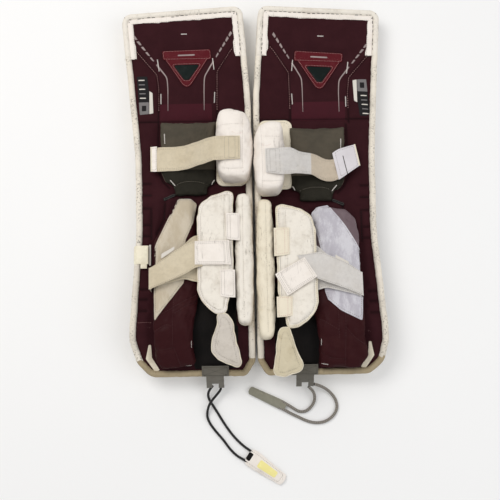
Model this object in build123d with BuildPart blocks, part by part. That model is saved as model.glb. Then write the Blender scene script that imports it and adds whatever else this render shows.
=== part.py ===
"""A pair of ice-hockey goaltender's leg pads, lying on their front faces with the leg side up.

Row frame, millimetres: +X towards the right-hand pad, +Y towards the thigh, +Z up from the
floor.  The origin is on the floor, in the middle of the pair.

Each pad is foam in a leather tray, in three sections: thigh rise, shin and boot.  A section has
a plane of its own, in which the pad lies flat: X and Y are then the pad's own plan and Z is the
height above its front face.  The planes meet at the two fold lines.  The left pad is modelled
in them, and the right pad is its mirror image with a few sizes of its own.
"""

import os
from dataclasses import dataclass
from math import asin, atan2, cos, degrees, pi, radians, sin, tan

from build123d import *

# ---- driving dimensions ------------------------------------------------------------------
BACK_Z = 46.0            # leg-side surface above the front face
FACE_T = 2.5             # front leather
WALL_T = 2.5             # side leather
LINER_T = 2.5            # leg-side nylon
FIT = 0.2                # air between pieces that only touch
LIP_W = 13.0             # rolled edge binding, across
LIP_TOP = 53.0           # and its top
KNEE_Y = 186.0           # fold line between the thigh rise and the shin
BOOT_Y = -310.0          # fold line between the shin and the boot
TOE_Y = -415.0           # toe edge, measured flat
BOOT_SLOPE = 19.0        # slope of the boot below the horizontal, degrees
FOLD_GAP = 0.3           # gap in foam and leather, each side of a fold line
LIP_GAP = 1.2            # the same in the binding, which stands above the fold's axis
SPARE_LEAN = 1.5         # spare angle at the boot's cut end, degrees
STRAP_T = 2.4            # webbing and elastic
PANEL_T = 1.8            # loop fabric
CRADLE_TOP = 60.0        # knee cradle
BLOCK_TOP = 126.0        # knee block
RISER_TOP = 96.0         # bolster that carries the calf wing
WING_LOW = 79.0          # calf wing, closed
WING_TOP = 94.0
CHANNEL_OUT = (-222.0, 82.0)      # X and Z of the leg channel's wall at its outer edge
CHANNEL_IN = (-112.0, 64.0)       # and at its inner edge
STRAP_FOLD_X = -229.0    # where the calf strap folds at the outer edge
CLIP_X = -263.6          # where the keeper runs down the outer wall
TAIL_DROOP = 8.0         # slope of the wing's tail against the wing, degrees
BUNGEE_D = 5.5           # left toe tie
LACE_D = 6.5             # right toe tie

# Plan of a pad that is flat: corners, each with its rounding radius.  The outer edge of the boot
# and the shin differs: the left pad lies pressed in there, and the right one spreads.
INNER_CORNERS = [
    ((-297, 420), 22), ((-19, 438), 22), ((-3, 205), 500), ((-3, -383), 15), ((-22, TOE_Y), 15),
]
LEFT_CORNERS = [
    ((-228, TOE_Y), 30), ((-256, -385), 40), ((-272, -335), 40), ((-258, -100), 500),
    ((-262, 75), 500),
]
RIGHT_CORNERS = [
    ((-244, TOE_Y), 30), ((-274, -387), 40), ((-285, -340), 40), ((-268, -100), 500),
    ((-272, 75), 500),
]


@dataclass
class Pad:
    """One pad, and how far its pieces sit from where the left pad has them."""

    name: str
    mirrored: bool
    outer_corners: list
    cradle_drop: float
    base_drop: float
    block_drop: float
    block_in: float
    strap_end_drop: float
    calf_drop: float
    wing_drop: float
    tab_out: float


LEFT = Pad("left", False, LEFT_CORNERS, 0, 0, 0, 0, 0, 0, 0, 0)
RIGHT = Pad("right", True, RIGHT_CORNERS, 18, 10, 28, 6, 10, 24, 32, 14)


# ---- section planes ------------------------------------------------------------------------
def folded(section, fold_y, angle):
    """A section's plane turned about the fold line at fold_y, on the leg-side surface."""
    axis_point = section.from_local_coords((0, fold_y, BACK_Z))
    hinge = Plane(axis_point, x_dir=section.x_dir, z_dir=section.z_dir).rotated((angle, 0, 0))
    origin = hinge.from_local_coords((0, -fold_y, -BACK_Z))
    return Plane(origin, x_dir=hinge.x_dir, z_dir=hinge.z_dir)


def across(section, y=0.0):
    """The plane across a section at y: its X is the section's X, its Y the section's Z."""
    origin = section.from_local_coords((0, y, 0))
    return Plane(origin, x_dir=section.x_dir, z_dir=-section.y_dir)


def along(section):
    """The plane along a section at X = 0: its X is the section's Y, its Y the section's Z."""
    return Plane(section.origin, x_dir=section.y_dir, z_dir=section.x_dir)


def normal(section):
    """The axis square to a section, for choosing its top faces."""
    return Axis(section.origin, section.z_dir)


# The shin rises just enough for the boot's toe to touch the floor.
TOE_DROP = BACK_Z * cos(radians(BOOT_SLOPE)) + (BOOT_Y - TOE_Y) * sin(radians(BOOT_SLOPE))
SHIN_SLOPE = degrees(asin((TOE_DROP - BACK_Z) / (KNEE_Y - BOOT_Y)))
BOOT_BEND = BOOT_SLOPE + SHIN_SLOPE

THIGH = Plane.XY
SHIN = folded(THIGH, KNEE_Y, -SHIN_SLOPE)
BOOT = folded(SHIN, BOOT_Y, BOOT_BEND)


# ---- helpers -------------------------------------------------------------------------------
def finish(built, label, mirrored=False):
    """Mirror a left-pad piece that is for the right pad, then label and write it."""
    with BuildPart() as piece:
        add(built.part)
        if mirrored:
            mirror(about=Plane.YZ, mode=Mode.REPLACE)
    piece.part.label = label
    export_step(piece.part, f"parts/{label}.step")


def pad_outline(pad, inset=0.0):
    """A pad's plan, drawn in by inset."""
    outline = INNER_CORNERS + pad.outer_corners
    with BuildSketch() as plan:
        with BuildLine():
            Polyline(*[corner for corner, _ in outline], close=True)
        make_face()
        for (x, y), radius in outline:
            corner = plan.vertices().sort_by_distance((x, y, 0))[0]
            fillet(corner, radius=radius)
        if inset:
            offset(amount=-inset)
    return plan.sketch


def polygon(points, radius=0.0):
    """A closed plan through points, with rounded corners."""
    with BuildSketch() as plan:
        with BuildLine():
            Polyline(*points, close=True)
        make_face()
        if radius:
            fillet(plan.vertices(), radius=radius)
    return plan.sketch


def lowered(points, drop, inwards=0.0):
    """Plan points moved towards the toe, and towards the pad's inner edge."""
    return [(x + inwards, y - drop) for x, y in points]


def slab(section, plan, low, high, top_fillet=0.0):
    """A plan extruded between two heights of a section."""
    with BuildPart() as made:
        with BuildSketch(section.offset(low)):
            add(plan)
        extrude(amount=high - low)
        if top_fillet:
            top = made.faces().sort_by(normal(section))[-1]
            fillet(top.edges(), radius=top_fillet)
    return made


def band(section, path, thickness, plan):
    """A band on top of a path across the section, (X, Z) and running outwards, cut to a plan."""
    with BuildPart() as made:
        with BuildSketch(across(section, 600)):
            with BuildLine():
                Polyline(*path)
                offset(amount=thickness, side=Side.RIGHT)
            make_face()
        extrude(amount=1200)
        with BuildSketch(section.offset(-10)):
            add(plan)
        extrude(amount=200, mode=Mode.INTERSECT)
    return made


def cut_to(section, built):
    """A pad-long solid cut to one section, with its end leaning where the bend needs it."""
    far = 1000.0
    lean = tan(radians(BOOT_BEND + SPARE_LEAN))
    if section is THIGH:
        profile = [(KNEE_Y + FOLD_GAP, -1), (far, -1), (far, 90), (KNEE_Y + FOLD_GAP, 90)]
    elif section is SHIN:
        low, high = BOOT_Y + FOLD_GAP, KNEE_Y - FOLD_GAP
        profile = [(low, -1), (high, -1), (high, 90), (low, 90)]
    else:
        high = BOOT_Y - FOLD_GAP
        foot = high - lean * (BACK_Z + 1)
        profile = [(-far, -1), (foot, -1), (high, BACK_Z), (high, 90), (-far, 90)]
    with BuildPart() as cut:
        add(built.part)
        with BuildSketch(along(section).offset(-far)):
            add(polygon(profile))
        extrude(amount=2 * far, mode=Mode.INTERSECT)
    return cut


# ---- foam, leather tray with its rolled edge, and nylon liner ----------------------------------
def core(pad, section):
    """Closed-cell foam that fills the leather tray."""
    plan = pad_outline(pad, WALL_T + FIT)
    return cut_to(section, slab(section, plan, FACE_T + FIT, BACK_Z - LINER_T - FIT))


def skin(pad, section):
    """Front face, side walls and the rolled binding along the leg-side edge."""
    with BuildPart() as tray:
        with BuildSketch(section):
            add(pad_outline(pad))
        extrude(amount=LIP_TOP)
        with BuildSketch(section.offset(FACE_T)):
            add(pad_outline(pad, WALL_T))
        extrude(amount=BACK_Z + FIT - FACE_T, mode=Mode.SUBTRACT)
        with BuildSketch(section.offset(BACK_Z)):
            add(pad_outline(pad, LIP_W))
        extrude(amount=LIP_TOP - BACK_Z, mode=Mode.SUBTRACT)
        with BuildSketch(section.offset(BACK_Z + 0.01)):
            for fold_y in (KNEE_Y, BOOT_Y):
                with Locations((-150, fold_y)):
                    Rectangle(400, 2 * LIP_GAP)
        extrude(amount=LIP_TOP, mode=Mode.SUBTRACT)
    return cut_to(section, tray)


def liner(pad, section):
    """Nylon over the foam on the leg side."""
    plan = pad_outline(pad, WALL_T + FIT)
    return cut_to(section, slab(section, plan, BACK_Z - LINER_T, BACK_Z))


# ---- on the thigh rise ------------------------------------------------------------------------
def name_patch():
    """Sewn patch: a bar with a tapered panel below it."""
    plan = polygon(
        [(-207, 333), (-93, 333), (-93, 310), (-138, 245), (-156, 245), (-207, 310)], 4
    )
    return slab(THIGH, plan, BACK_Z + FIT, BACK_Z + 2.6)


def size_label():
    """Woven label by the outer edge."""
    plan = polygon([(-261, 268), (-236, 268), (-222, 232), (-222, 190), (-255, 190)], 2)
    return slab(THIGH, plan, BACK_Z + FIT, BACK_Z + 1.4)


# ---- on the shin ------------------------------------------------------------------------------
def knee_cradle(pad):
    """Moulded pad that the knee lands on."""
    corners = [
        (-207, 160), (-92, 160), (-92, 12), (-102, 2), (-102, -10), (-170, -10),
        (-182, 8), (-198, 18), (-207, 44),
    ]
    plan = polygon(lowered(corners, pad.cradle_drop), 4)
    return slab(SHIN, plan, BACK_Z + FIT, CRADLE_TOP)


def knee_block_base(pad):
    """Flanged base of the knee block."""
    corners = [(-89, 168), (-17, 168), (-17, 0), (-89, 0)]
    plan = polygon(lowered(corners, pad.base_drop), 14)
    return slab(SHIN, plan, BACK_Z + FIT, LIP_TOP + FIT)


def knee_block(pad):
    """Stack of foam under leather that lifts the knee off the ice."""
    corners = [(-78, 165), (-8, 165), (-8, -3), (-78, -3)]
    plan = polygon(lowered(corners, pad.block_drop, pad.block_in), 16)
    return slab(SHIN, plan, LIP_TOP + 2 * FIT, BLOCK_TOP, top_fillet=14)


def channel_section():
    """The leg channel's wall in section: highest at its outer edge."""
    floor_z = BACK_Z + FIT
    return [(CHANNEL_OUT[0], floor_z), (CHANNEL_IN[0], floor_z), CHANNEL_IN, CHANNEL_OUT]


def leg_channel(pad):
    """Padded wall on the outer side of the calf."""
    x_out, x_in = CHANNEL_OUT[0], CHANNEL_IN[0]
    drop = pad.calf_drop
    corners = [
        (x_out, -118 - drop), (-166, -16 - drop), (-122, -20 - drop), (-122, -70 - drop),
        (x_in, -240), (x_in, BOOT_Y + 3), (x_out, BOOT_Y + 3),
    ]
    with BuildPart() as wall:
        with BuildSketch(across(SHIN, 600)):
            add(polygon(channel_section()))
        extrude(amount=1200)
        with BuildSketch(SHIN):
            add(polygon(corners, 5))
        extrude(amount=200, mode=Mode.INTERSECT)
    return wall


def loop_panel(pad):
    """Loop fabric on the channel's slope, for the strap's hook end."""
    corners = [
        (-216, -128), (-166, -23), (-138, -23), (-126, -34), (-132, -82), (-150, -120),
        (-153, -213), (-216, -288),
    ]
    plan = polygon(lowered(corners, pad.calf_drop), 3)
    path = [(CHANNEL_IN[0], CHANNEL_IN[1] + FIT), (CHANNEL_OUT[0], CHANNEL_OUT[1] + FIT)]
    return band(SHIN, path, PANEL_T, plan)


def calf_riser(pad):
    """Long bolster along the inner edge that carries the calf wing."""
    low, high = -306 - pad.wing_drop, -16 - pad.wing_drop / 2
    length = high - low
    middle = (low + high) / 2
    with BuildPart() as bolster:
        with BuildSketch(SHIN.offset(LIP_TOP + FIT)):
            with Locations((-23, middle)):
                RectangleRounded(32, length, 12)
        extrude(amount=RISER_TOP - LIP_TOP - FIT)
        fillet(bolster.faces().sort_by(normal(SHIN))[-1].edges(), radius=11)
        with BuildSketch(SHIN.offset(BACK_Z + FIT)):
            with Locations((-28, middle)):
                RectangleRounded(21, length - 10, 5)
        extrude(amount=LIP_TOP - BACK_Z + 1)
    return bolster


def strap_anchor(pad):
    """Under layer of the calf strap: it crosses the channel and runs down to the outer edge."""
    path = [(-104, 74), (-134, 74), (STRAP_FOLD_X, 87), (STRAP_FOLD_X, BACK_Z + FIT)]
    corners = [
        (-104, -88), (-134, -97), (-226, -186), (-236, -188),
        (-236, -231), (-226, -229), (-134, -210), (-104, -218),
    ]
    return band(SHIN, path, STRAP_T, polygon(lowered(corners, pad.calf_drop)))


def edge_clip():
    """Keeper that grips the outer edge of the pad."""
    path = [(-231, LIP_TOP + FIT), (CLIP_X, LIP_TOP + FIT), (CLIP_X, 22)]
    plan = polygon([(-290, -128), (-220, -128), (-220, -172), (-290, -172)])
    return band(SHIN, path, 4.0, plan)


# ---- straps and wing --------------------------------------------------------------------------
def knee_strap(pad):
    """Elastic from the top of the knee block down across the knee cradle."""
    over_block = BLOCK_TOP + 0.6
    on_cradle = CRADLE_TOP + 0.8
    seam_x = -28 + pad.block_in
    path = [
        (seam_x, over_block), (seam_x - 58, over_block), (seam_x - 70, over_block - 11),
        (-150, on_cradle + 7), (-174, on_cradle), (-206, on_cradle),
    ]
    corners = [
        (seam_x, 96), (-150, 96), (-206, 95), (-206, 40), (-150, 40), (seam_x, 44),
    ]
    return band(SHIN, path, STRAP_T, polygon(lowered(corners, pad.block_drop)))


def knee_strap_tab(pad):
    """Hook-and-loop end of the knee strap, a double layer."""
    corners = [(-194, 96), (-226, 95), (-224, 40), (-194, 40)]
    low = CRADLE_TOP + 0.8 + STRAP_T + FIT
    return slab(SHIN, polygon(lowered(corners, pad.strap_end_drop), 3), low, low + 3.2)


def calf_wing(pad):
    """Padded leather wing that folds over the calf."""
    corners = [
        (-46, -13), (-62, -11), (-98, -21), (-122, -42), (-130, -72), (-129, -235),
        (-121, -258), (-104, -276), (-84, -290), (-62, -288), (-46, -214),
    ]
    plan = polygon(lowered(corners, pad.wing_drop), 5)
    return slab(SHIN, plan, WING_LOW, WING_TOP, top_fillet=4)


def hinge_tabs(pad):
    """Two leather tabs that join the wing to the riser."""
    with BuildPart() as tabs:
        with BuildSketch(SHIN.offset(WING_TOP + FIT)):
            with Locations((-58, -98 - pad.wing_drop), (-62, -222 - pad.wing_drop)):
                RectangleRounded(30, 56, 4)
        extrude(amount=2.4)
    return tabs


def ankle_tail(pad):
    """Lower tail of the wing, which covers the ankle."""
    origin = SHIN.from_local_coords((0, -293 - pad.wing_drop, WING_TOP - 3))
    drooped = Plane(origin, x_dir=SHIN.x_dir, z_dir=SHIN.z_dir).rotated((TAIL_DROOP, 0, 0))
    corners = [
        (-84, 0), (-64, 0), (-48, -16), (-30, -90), (-38, -108),
        (-56, -107), (-88, -86), (-100, -60), (-92, -24),
    ]
    return slab(drooped, polygon(corners, 7), -13, 0, top_fillet=3)


def calf_strap(pad):
    """Outer layer of the calf strap, from its fold at the outer edge to the wing."""
    low = WING_TOP + 0.8
    path = [(-112, low), (-134, low), (STRAP_FOLD_X - 1, low - 3)]
    corners = [
        (-112, -130), (-134, -132), (-232, -188), (-232, -231), (-134, -187), (-112, -183),
    ]
    return band(SHIN, path, STRAP_T, polygon(lowered(corners, pad.calf_drop)))


def calf_strap_tab(pad):
    """Leather hook-and-loop end that closes the calf strap on the wing."""
    corners = [(-130, -130), (-56, -129), (-54, -183), (-130, -183)]
    low = WING_TOP + 0.8 + STRAP_T + FIT
    return slab(SHIN, polygon(lowered(corners, pad.calf_drop), 3), low, low + 3.0)


# ---- on the boot ------------------------------------------------------------------------------
def boot_pad():
    """Padded cradle for the side of the skate boot."""
    top_y = BOOT_Y - 3
    corners = [
        (-222, top_y), (-112, top_y), (-112, -395),
        (-188, -395), (-214, -381), (-222, -354),
    ]
    return slab(BOOT, polygon(corners, 8), BACK_Z + FIT, BACK_Z + 28, top_fillet=7)


def toe_tab(pad):
    """Toe bridge: a tab over the toe edge, forked for the two ends of the toe tie."""
    path = [(-400, LIP_TOP + FIT), (TOE_Y - 4, LIP_TOP + FIT), (-451, 34)]
    corners = [
        (-122, -386), (-61, -386), (-61, -421), (-73, -429), (-73, -470),
        (-85, -470), (-85, -444), (-98, -444), (-98, -470), (-110, -470),
        (-110, -429), (-122, -421),
    ]
    with BuildPart() as tab:
        with BuildSketch(along(BOOT).offset(-200)):
            with BuildLine():
                Polyline(*path)
                offset(amount=3.5, side=Side.RIGHT)
            make_face()
        extrude(amount=200)
        with BuildSketch(BOOT):
            add(polygon(lowered(corners, 0, -pad.tab_out)))
        extrude(amount=100, mode=Mode.INTERSECT)
    return tab


# ---- toe ties, lying on the floor ---------------------------------------------------------------
LEFT_TIE = [
    (-96, -429, 25), (-103, -436, 20.5), (-107.5, -446, 13), (-106, -456, 6),
    (-100, -466, 2.8), (-88, -485, 2.8), (-73, -510, 2.8), (-54, -537, 2.8),
    (-33, -558, 2.8), (-14, -571, 4.5), (6.5, -584, 5.6), (-8, -604, 5.6),
    (-29, -589, 4.5), (-46, -580, 2.8), (-62, -564, 2.8), (-75, -545, 2.8),
    (-92, -526, 2.8), (-106, -507, 2.8), (-111, -490, 5), (-105, -469, 14.6),
    (-96, -457, 15.4), (-87, -447, 17), (-79.5, -438, 20), (-77.5, -429, 25),
    (-80, -421.5, 31),
]
RIGHT_TIE = [
    (112, -434, 25), (121, -442, 19.5), (126, -453, 12), (125.5, -465, 5.5),
    (119, -477, 3.3), (107, -487, 3.3), (92, -488, 3.3), (79, -480, 4.2),
    (65, -471, 5.2), (48.7, -462.1, 5.6), (42.9, -474.3, 5.6), (59, -483, 5.2),
    (75, -492, 4), (91, -499.5, 3.3), (108, -508, 3.3), (129, -513, 3.3),
    (151, -509, 3.3), (168, -496, 3.3), (175.5, -479, 3.3), (172, -462, 3.8),
    (162, -448, 8), (149, -438, 15), (136, -432, 23), (124, -429, 30),
]


def toe_cord(points, diameter):
    """A round cord along straight runs joined by the largest arcs that they allow."""
    corners = [Vector(*point) for point in points]
    radii = []
    for before, corner, after in zip(corners, corners[1:], corners[2:]):
        run_in = corner - before
        run_out = after - corner
        half_turn = radians(run_in.get_angle(run_out)) / 2
        radii.append(0.45 * min(run_in.length, run_out.length) / tan(half_turn))
    with BuildPart() as cord:
        with BuildLine() as route:
            FilletPolyline(*corners, radius=radii)
        with BuildSketch(Plane(route.wire() @ 0, z_dir=route.wire() % 0)):
            Circle(diameter / 2)
        sweep()
    length = route.wire().length
    share = cord.part.volume / (length * pi * diameter**2 / 4)
    print("cord", round(length, 1), "mm, volume share", round(share, 4))
    print("radii", [round(radius, 1) for radius in radii])
    return cord


def cord_grip(near, far, near_width, far_width, height):
    """A tapered tab on the end of a toe tie."""
    run = Vector(*far) - Vector(*near)
    angle = degrees(atan2(run.Y, run.X))
    plane = Plane((near[0], near[1], 0.3)).rotated((0, 0, angle))
    corners = [
        (0, -near_width / 2), (run.length, -far_width / 2),
        (run.length, far_width / 2), (0, near_width / 2),
    ]
    return slab(plane, polygon(corners, 4), 0, height)


# ---- every sub-part -----------------------------------------------------------------------------
os.makedirs("parts", exist_ok=True)

SECTIONS = {"thigh": THIGH, "shin": SHIN, "boot": BOOT}
SHIFTED = [
    toe_tab, knee_cradle, knee_block_base, knee_block, leg_channel, loop_panel,
    calf_riser, strap_anchor, knee_strap, knee_strap_tab, calf_wing, hinge_tabs, ankle_tail,
    calf_strap, calf_strap_tab,
]

for pad in (LEFT, RIGHT):
    for layer in (core, skin, liner):
        for name, section in SECTIONS.items():
            finish(layer(pad, section), f"{pad.name}_{name}_{layer.__name__}", pad.mirrored)
    for piece in (name_patch, size_label, boot_pad):
        finish(piece(), f"{pad.name}_{piece.__name__}", pad.mirrored)
    for piece in SHIFTED:
        finish(piece(pad), f"{pad.name}_{piece.__name__}", pad.mirrored)

finish(edge_clip(), "left_edge_clip")
finish(toe_cord(LEFT_TIE, BUNGEE_D), "left_toe_cord")
finish(toe_cord(RIGHT_TIE, LACE_D), "right_toe_cord")
finish(cord_grip((-22, -579), (55, -634), 38, 26, 11), "left_cord_grip")
finish(cord_grip((62, -476.5), (-17, -438), 24, 20, 11), "right_cord_grip")
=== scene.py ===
"""The looks of a pair of goalie leg pads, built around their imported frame.

Every soft piece is authored in millimetres on a flat left pad: X and Y are the pad's plan and Z
is the height above its front face.  bent() lays that flat pad on the frame's three sections, and
the right pad is the mirror image with a few sizes of its own.
"""

import math
from dataclasses import dataclass

import bmesh
import bpy
import numpy as np
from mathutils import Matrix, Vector
from mathutils.bvhtree import BVHTree


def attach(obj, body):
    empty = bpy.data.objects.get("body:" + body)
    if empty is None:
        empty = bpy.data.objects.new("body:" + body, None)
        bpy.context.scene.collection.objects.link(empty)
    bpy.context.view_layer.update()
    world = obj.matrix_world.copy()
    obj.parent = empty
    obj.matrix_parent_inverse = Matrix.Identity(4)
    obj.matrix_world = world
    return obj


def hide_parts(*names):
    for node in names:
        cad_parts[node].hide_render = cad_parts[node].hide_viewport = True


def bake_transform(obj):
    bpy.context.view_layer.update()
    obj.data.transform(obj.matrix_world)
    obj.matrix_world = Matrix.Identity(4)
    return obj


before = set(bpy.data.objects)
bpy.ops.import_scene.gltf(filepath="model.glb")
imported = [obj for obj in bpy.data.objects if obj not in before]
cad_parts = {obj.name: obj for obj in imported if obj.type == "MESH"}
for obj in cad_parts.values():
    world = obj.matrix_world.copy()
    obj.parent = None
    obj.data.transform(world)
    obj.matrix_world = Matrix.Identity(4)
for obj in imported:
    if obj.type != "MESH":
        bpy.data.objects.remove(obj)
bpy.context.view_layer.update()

# ---- driving dimensions, millimetres and degrees ------------------------------------------------
MM = 0.001
BACK_Z = 46.0            # leg-side surface above the front face
KNEE_Y = 186.0           # fold line between the thigh rise and the shin
BOOT_Y = -310.0          # fold line between the shin and the boot
TOE_Y = -415.0
BOOT_SLOPE = math.radians(19.0)
FOLD_REACH = 20.0        # how far a fold's curve reaches, each side of its line
SPLIT_Y = -60.0          # where the long pieces are divided, under the calf pieces
LIP_W = 13.0             # rolled edge binding, across
CAP_END_Y = 316.0        # where the thigh's leather corner caps end
TAN_Y = -376.0           # where the rim's binding gives way to tan leather round the toe
TOE_DROP = BACK_Z * math.cos(BOOT_SLOPE) + (BOOT_Y - TOE_Y) * math.sin(BOOT_SLOPE)
SHIN_SLOPE = math.asin((TOE_DROP - BACK_Z) / (KNEE_Y - BOOT_Y))
BOOT_BEND = BOOT_SLOPE + SHIN_SLOPE

# Plan of a pad that is flat: corners, each with its rounding radius.  The outer edge of the boot
# and the shin differs: the left pad lies pressed in there, and the right one spreads.
INNER_CORNERS = [
    ((-297, 420), 22), ((-19, 438), 22), ((-3, 205), 500), ((-3, -383), 15), ((-22, TOE_Y), 15),
]
LEFT_CORNERS = [
    ((-228, TOE_Y), 30), ((-256, -385), 40), ((-272, -335), 40), ((-258, -100), 500),
    ((-262, 75), 500),
]
RIGHT_CORNERS = [
    ((-244, TOE_Y), 30), ((-274, -387), 40), ((-285, -340), 40), ((-268, -100), 500),
    ((-272, 75), 500),
]


@dataclass
class Pad:
    """One pad, and how far its pieces sit from where the left pad has them."""

    name: str
    mirrored: bool
    outer_corners: list
    thigh_move: tuple
    cradle_drop: float
    base_drop: float
    block_drop: float
    block_width: float
    calf_drop: float
    wing_drop: float
    wing_width: float
    tab_out: float
    seed: int

    def corners(self):
        """The plan's corners."""
        return [corner for corner, _ in INNER_CORNERS + self.outer_corners]

    def radii(self):
        """The rounding radius of each corner."""
        return [radius for _, radius in INNER_CORNERS + self.outer_corners]

    def outer_x(self, y):
        """X of the outer edge at a height of the plan."""
        line = sorted((corner for corner, _ in self.outer_corners), key=lambda corner: corner[1])
        xs, ys = zip(*line)
        return float(np.interp(y, ys, xs))


LEFT = Pad("left", False, LEFT_CORNERS, (0, 0, 0), 0, 0, 0, 1.0, 0, 0, 1.0, 0, 3)
RIGHT = Pad("right", True, RIGHT_CORNERS, (-7, -10, 0.05), 18, 10, 30, 0.84, 24, 32, 1.1, 14, 8)


# ---- camera ------------------------------------------------------------------------------------
CAMERA_AIM = Vector((-0.010, -0.133, 0.04))
CAMERA_ELEVATION = math.radians(80.0)
CAMERA_TURN = math.radians(1.0)
CAMERA_DISTANCE = 2.10
CAMERA_LENS = 68.3


def add_camera():
    """Looks down at the pair from the toe end."""
    data = bpy.data.cameras.new("camera")
    data.lens = CAMERA_LENS
    data.sensor_width = 36.0
    camera = bpy.data.objects.new("camera", data)
    bpy.context.scene.collection.objects.link(camera)
    level = math.cos(CAMERA_ELEVATION)
    back = Vector((-math.sin(CAMERA_TURN) * level, -math.cos(CAMERA_TURN) * level,
                   math.sin(CAMERA_ELEVATION)))
    camera.location = CAMERA_AIM + back * CAMERA_DISTANCE
    camera.rotation_mode = "QUATERNION"
    camera.rotation_quaternion = (-back).to_track_quat("-Z", "Y")
    bpy.context.scene.camera = camera


add_camera()


# ---- lines and waves ---------------------------------------------------------------------------
def waves(x, y, length, seed, count=7):
    """Smooth random unevenness, about -1 to 1, with bumps about length apart."""
    draw = np.random.default_rng(seed)
    total = np.zeros(np.shape(x))
    for _ in range(count):
        angle, phase = draw.uniform(0, 2 * np.pi, 2)
        rate = 2 * np.pi / length * draw.uniform(0.5, 1.4)
        total = total + np.sin(rate * (x * np.cos(angle) + y * np.sin(angle)) + phase)
    return total / math.sqrt(count)


def smooth(t):
    """Eased step from 0 to 1."""
    t = np.clip(t, 0.0, 1.0)
    return t * t * (3 - 2 * t)


def rounded(corners, radius, steps=6):
    """A closed line through corners, each rounded by an arc; radius is one number or one for each."""
    corners = np.array(corners, float)
    radii = np.broadcast_to(radius, len(corners))
    line = []
    for i, corner in enumerate(corners):
        back, ahead = corners[i - 1] - corner, corners[(i + 1) % len(corners)] - corner
        lb, la = np.linalg.norm(back), np.linalg.norm(ahead)
        back, ahead = back / lb, ahead / la
        half = math.acos(np.clip(back @ ahead, -1, 1)) / 2
        reach = min(radii[i] / math.tan(half), 0.48 * lb, 0.48 * la)
        start, end = corner + back * reach, corner + ahead * reach
        centre = corner + (back + ahead) / np.linalg.norm(back + ahead) * reach / math.cos(half)
        radius_here = np.linalg.norm(start - centre)
        for t in np.linspace(0, 1, steps):
            chord = start + (end - start) * t - centre
            line.append(centre + chord / np.linalg.norm(chord) * radius_here)
    return np.array(line)


def lengths_along(line):
    """Length from a line's start to each of its points."""
    return np.concatenate([[0], np.cumsum(np.linalg.norm(np.diff(line, axis=0), axis=1))])


def joined(line):
    """A closed line with its first point again at its end."""
    return np.vstack([line, line[:1]])


def signed_area(line):
    """Area inside a closed plan line, negative where it runs clockwise."""
    x, y = line.T
    return (x * np.roll(y, -1) - np.roll(x, -1) * y).sum() / 2


def resampled(line, step, closed=False):
    """Points about step apart along a line."""
    line = np.array(line, float)
    if closed:
        line = joined(line)
    along = lengths_along(line)
    count = max(2, int(round(along[-1] / step)) + 1)
    at = np.linspace(0, along[-1], count)
    if closed:
        at = at[:-1]
    return np.stack([np.interp(at, along, line[:, i]) for i in range(line.shape[1])], 1)


def eased(line, passes=6, closed=False):
    """The same points with their corners smoothed away."""
    line = np.array(line, float)
    for _ in range(passes):
        middle = (np.roll(line, 1, 0) + 2 * line + np.roll(line, -1, 0)) / 4
        if not closed:
            middle[0], middle[-1] = line[0], line[-1]
        line = middle
    return line


def inward(line):
    """Unit normals of a closed plan line, pointing into it."""
    along = np.roll(line, -1, 0) - np.roll(line, 1, 0)
    along /= np.linalg.norm(along, axis=1)[:, None]
    normal = np.stack([-along[:, 1], along[:, 0]], 1)
    return normal if signed_area(line) > 0 else -normal


def mitred(corners, inset):
    """A closed line of corners drawn in by inset, with its corners still sharp."""
    corners = np.array(corners, float)
    found = []
    for i, corner in enumerate(corners):
        before, after = corner - corners[i - 1], corners[(i + 1) % len(corners)] - corner
        n1 = np.array([before[1], -before[0]]) / np.linalg.norm(before)
        n2 = np.array([after[1], -after[0]]) / np.linalg.norm(after)
        found.append(corner + (n1 + n2) * inset / (1 + n1 @ n2))
    return np.array(found)


def distance_to(x, y, lines):
    """Distance of points from the nearest of several open plan lines."""
    best = np.full(np.shape(x), 1e9)
    for line in lines:
        for (ax, ay), (bx, by) in zip(line[:-1], line[1:]):
            dx, dy = bx - ax, by - ay
            t = np.clip(((x - ax) * dx + (y - ay) * dy) / (dx * dx + dy * dy + 1e-9), 0, 1)
            best = np.minimum(best, np.hypot(x - ax - t * dx, y - ay - t * dy))
    return best


def inside(x, y, plan):
    """Which points lie inside a closed plan."""
    found = np.zeros(np.shape(x), bool)
    for (ax, ay), (bx, by) in zip(plan, np.roll(plan, -1, 0)):
        crosses = (ay > y) != (by > y)
        found ^= crosses & (x < ax + (y - ay) * (bx - ax) / (by - ay + 1e-12))
    return found


# ---- laying a flat pad on the frame -----------------------------------------------------------
def turned(y, z, fold_y, angle):
    """Y and Z turned about a fold line on the leg-side surface."""
    cos, sin = np.cos(angle), np.sin(angle)
    dy, dz = y - fold_y, z - BACK_Z
    return fold_y + dy * cos - dz * sin, BACK_Z + dy * sin + dz * cos


def bent(points, pad, section=None):
    """Flat points, millimetres, laid on a pad's section, or round its folds, in metres."""
    x, y, z = np.array(points, float).T
    if section:
        boot, shin = float(section == "boot"), float(section != "thigh")
    else:
        boot = smooth((BOOT_Y + FOLD_REACH - y) / (2 * FOLD_REACH))
        shin = smooth((KNEE_Y + FOLD_REACH - y) / (2 * FOLD_REACH))
    y, z = turned(y, z, BOOT_Y, boot * BOOT_BEND)
    y, z = turned(y, z, KNEE_Y, -shin * SHIN_SLOPE)
    return np.stack([-x if pad.mirrored else x, y, z], 1) * MM


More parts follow.
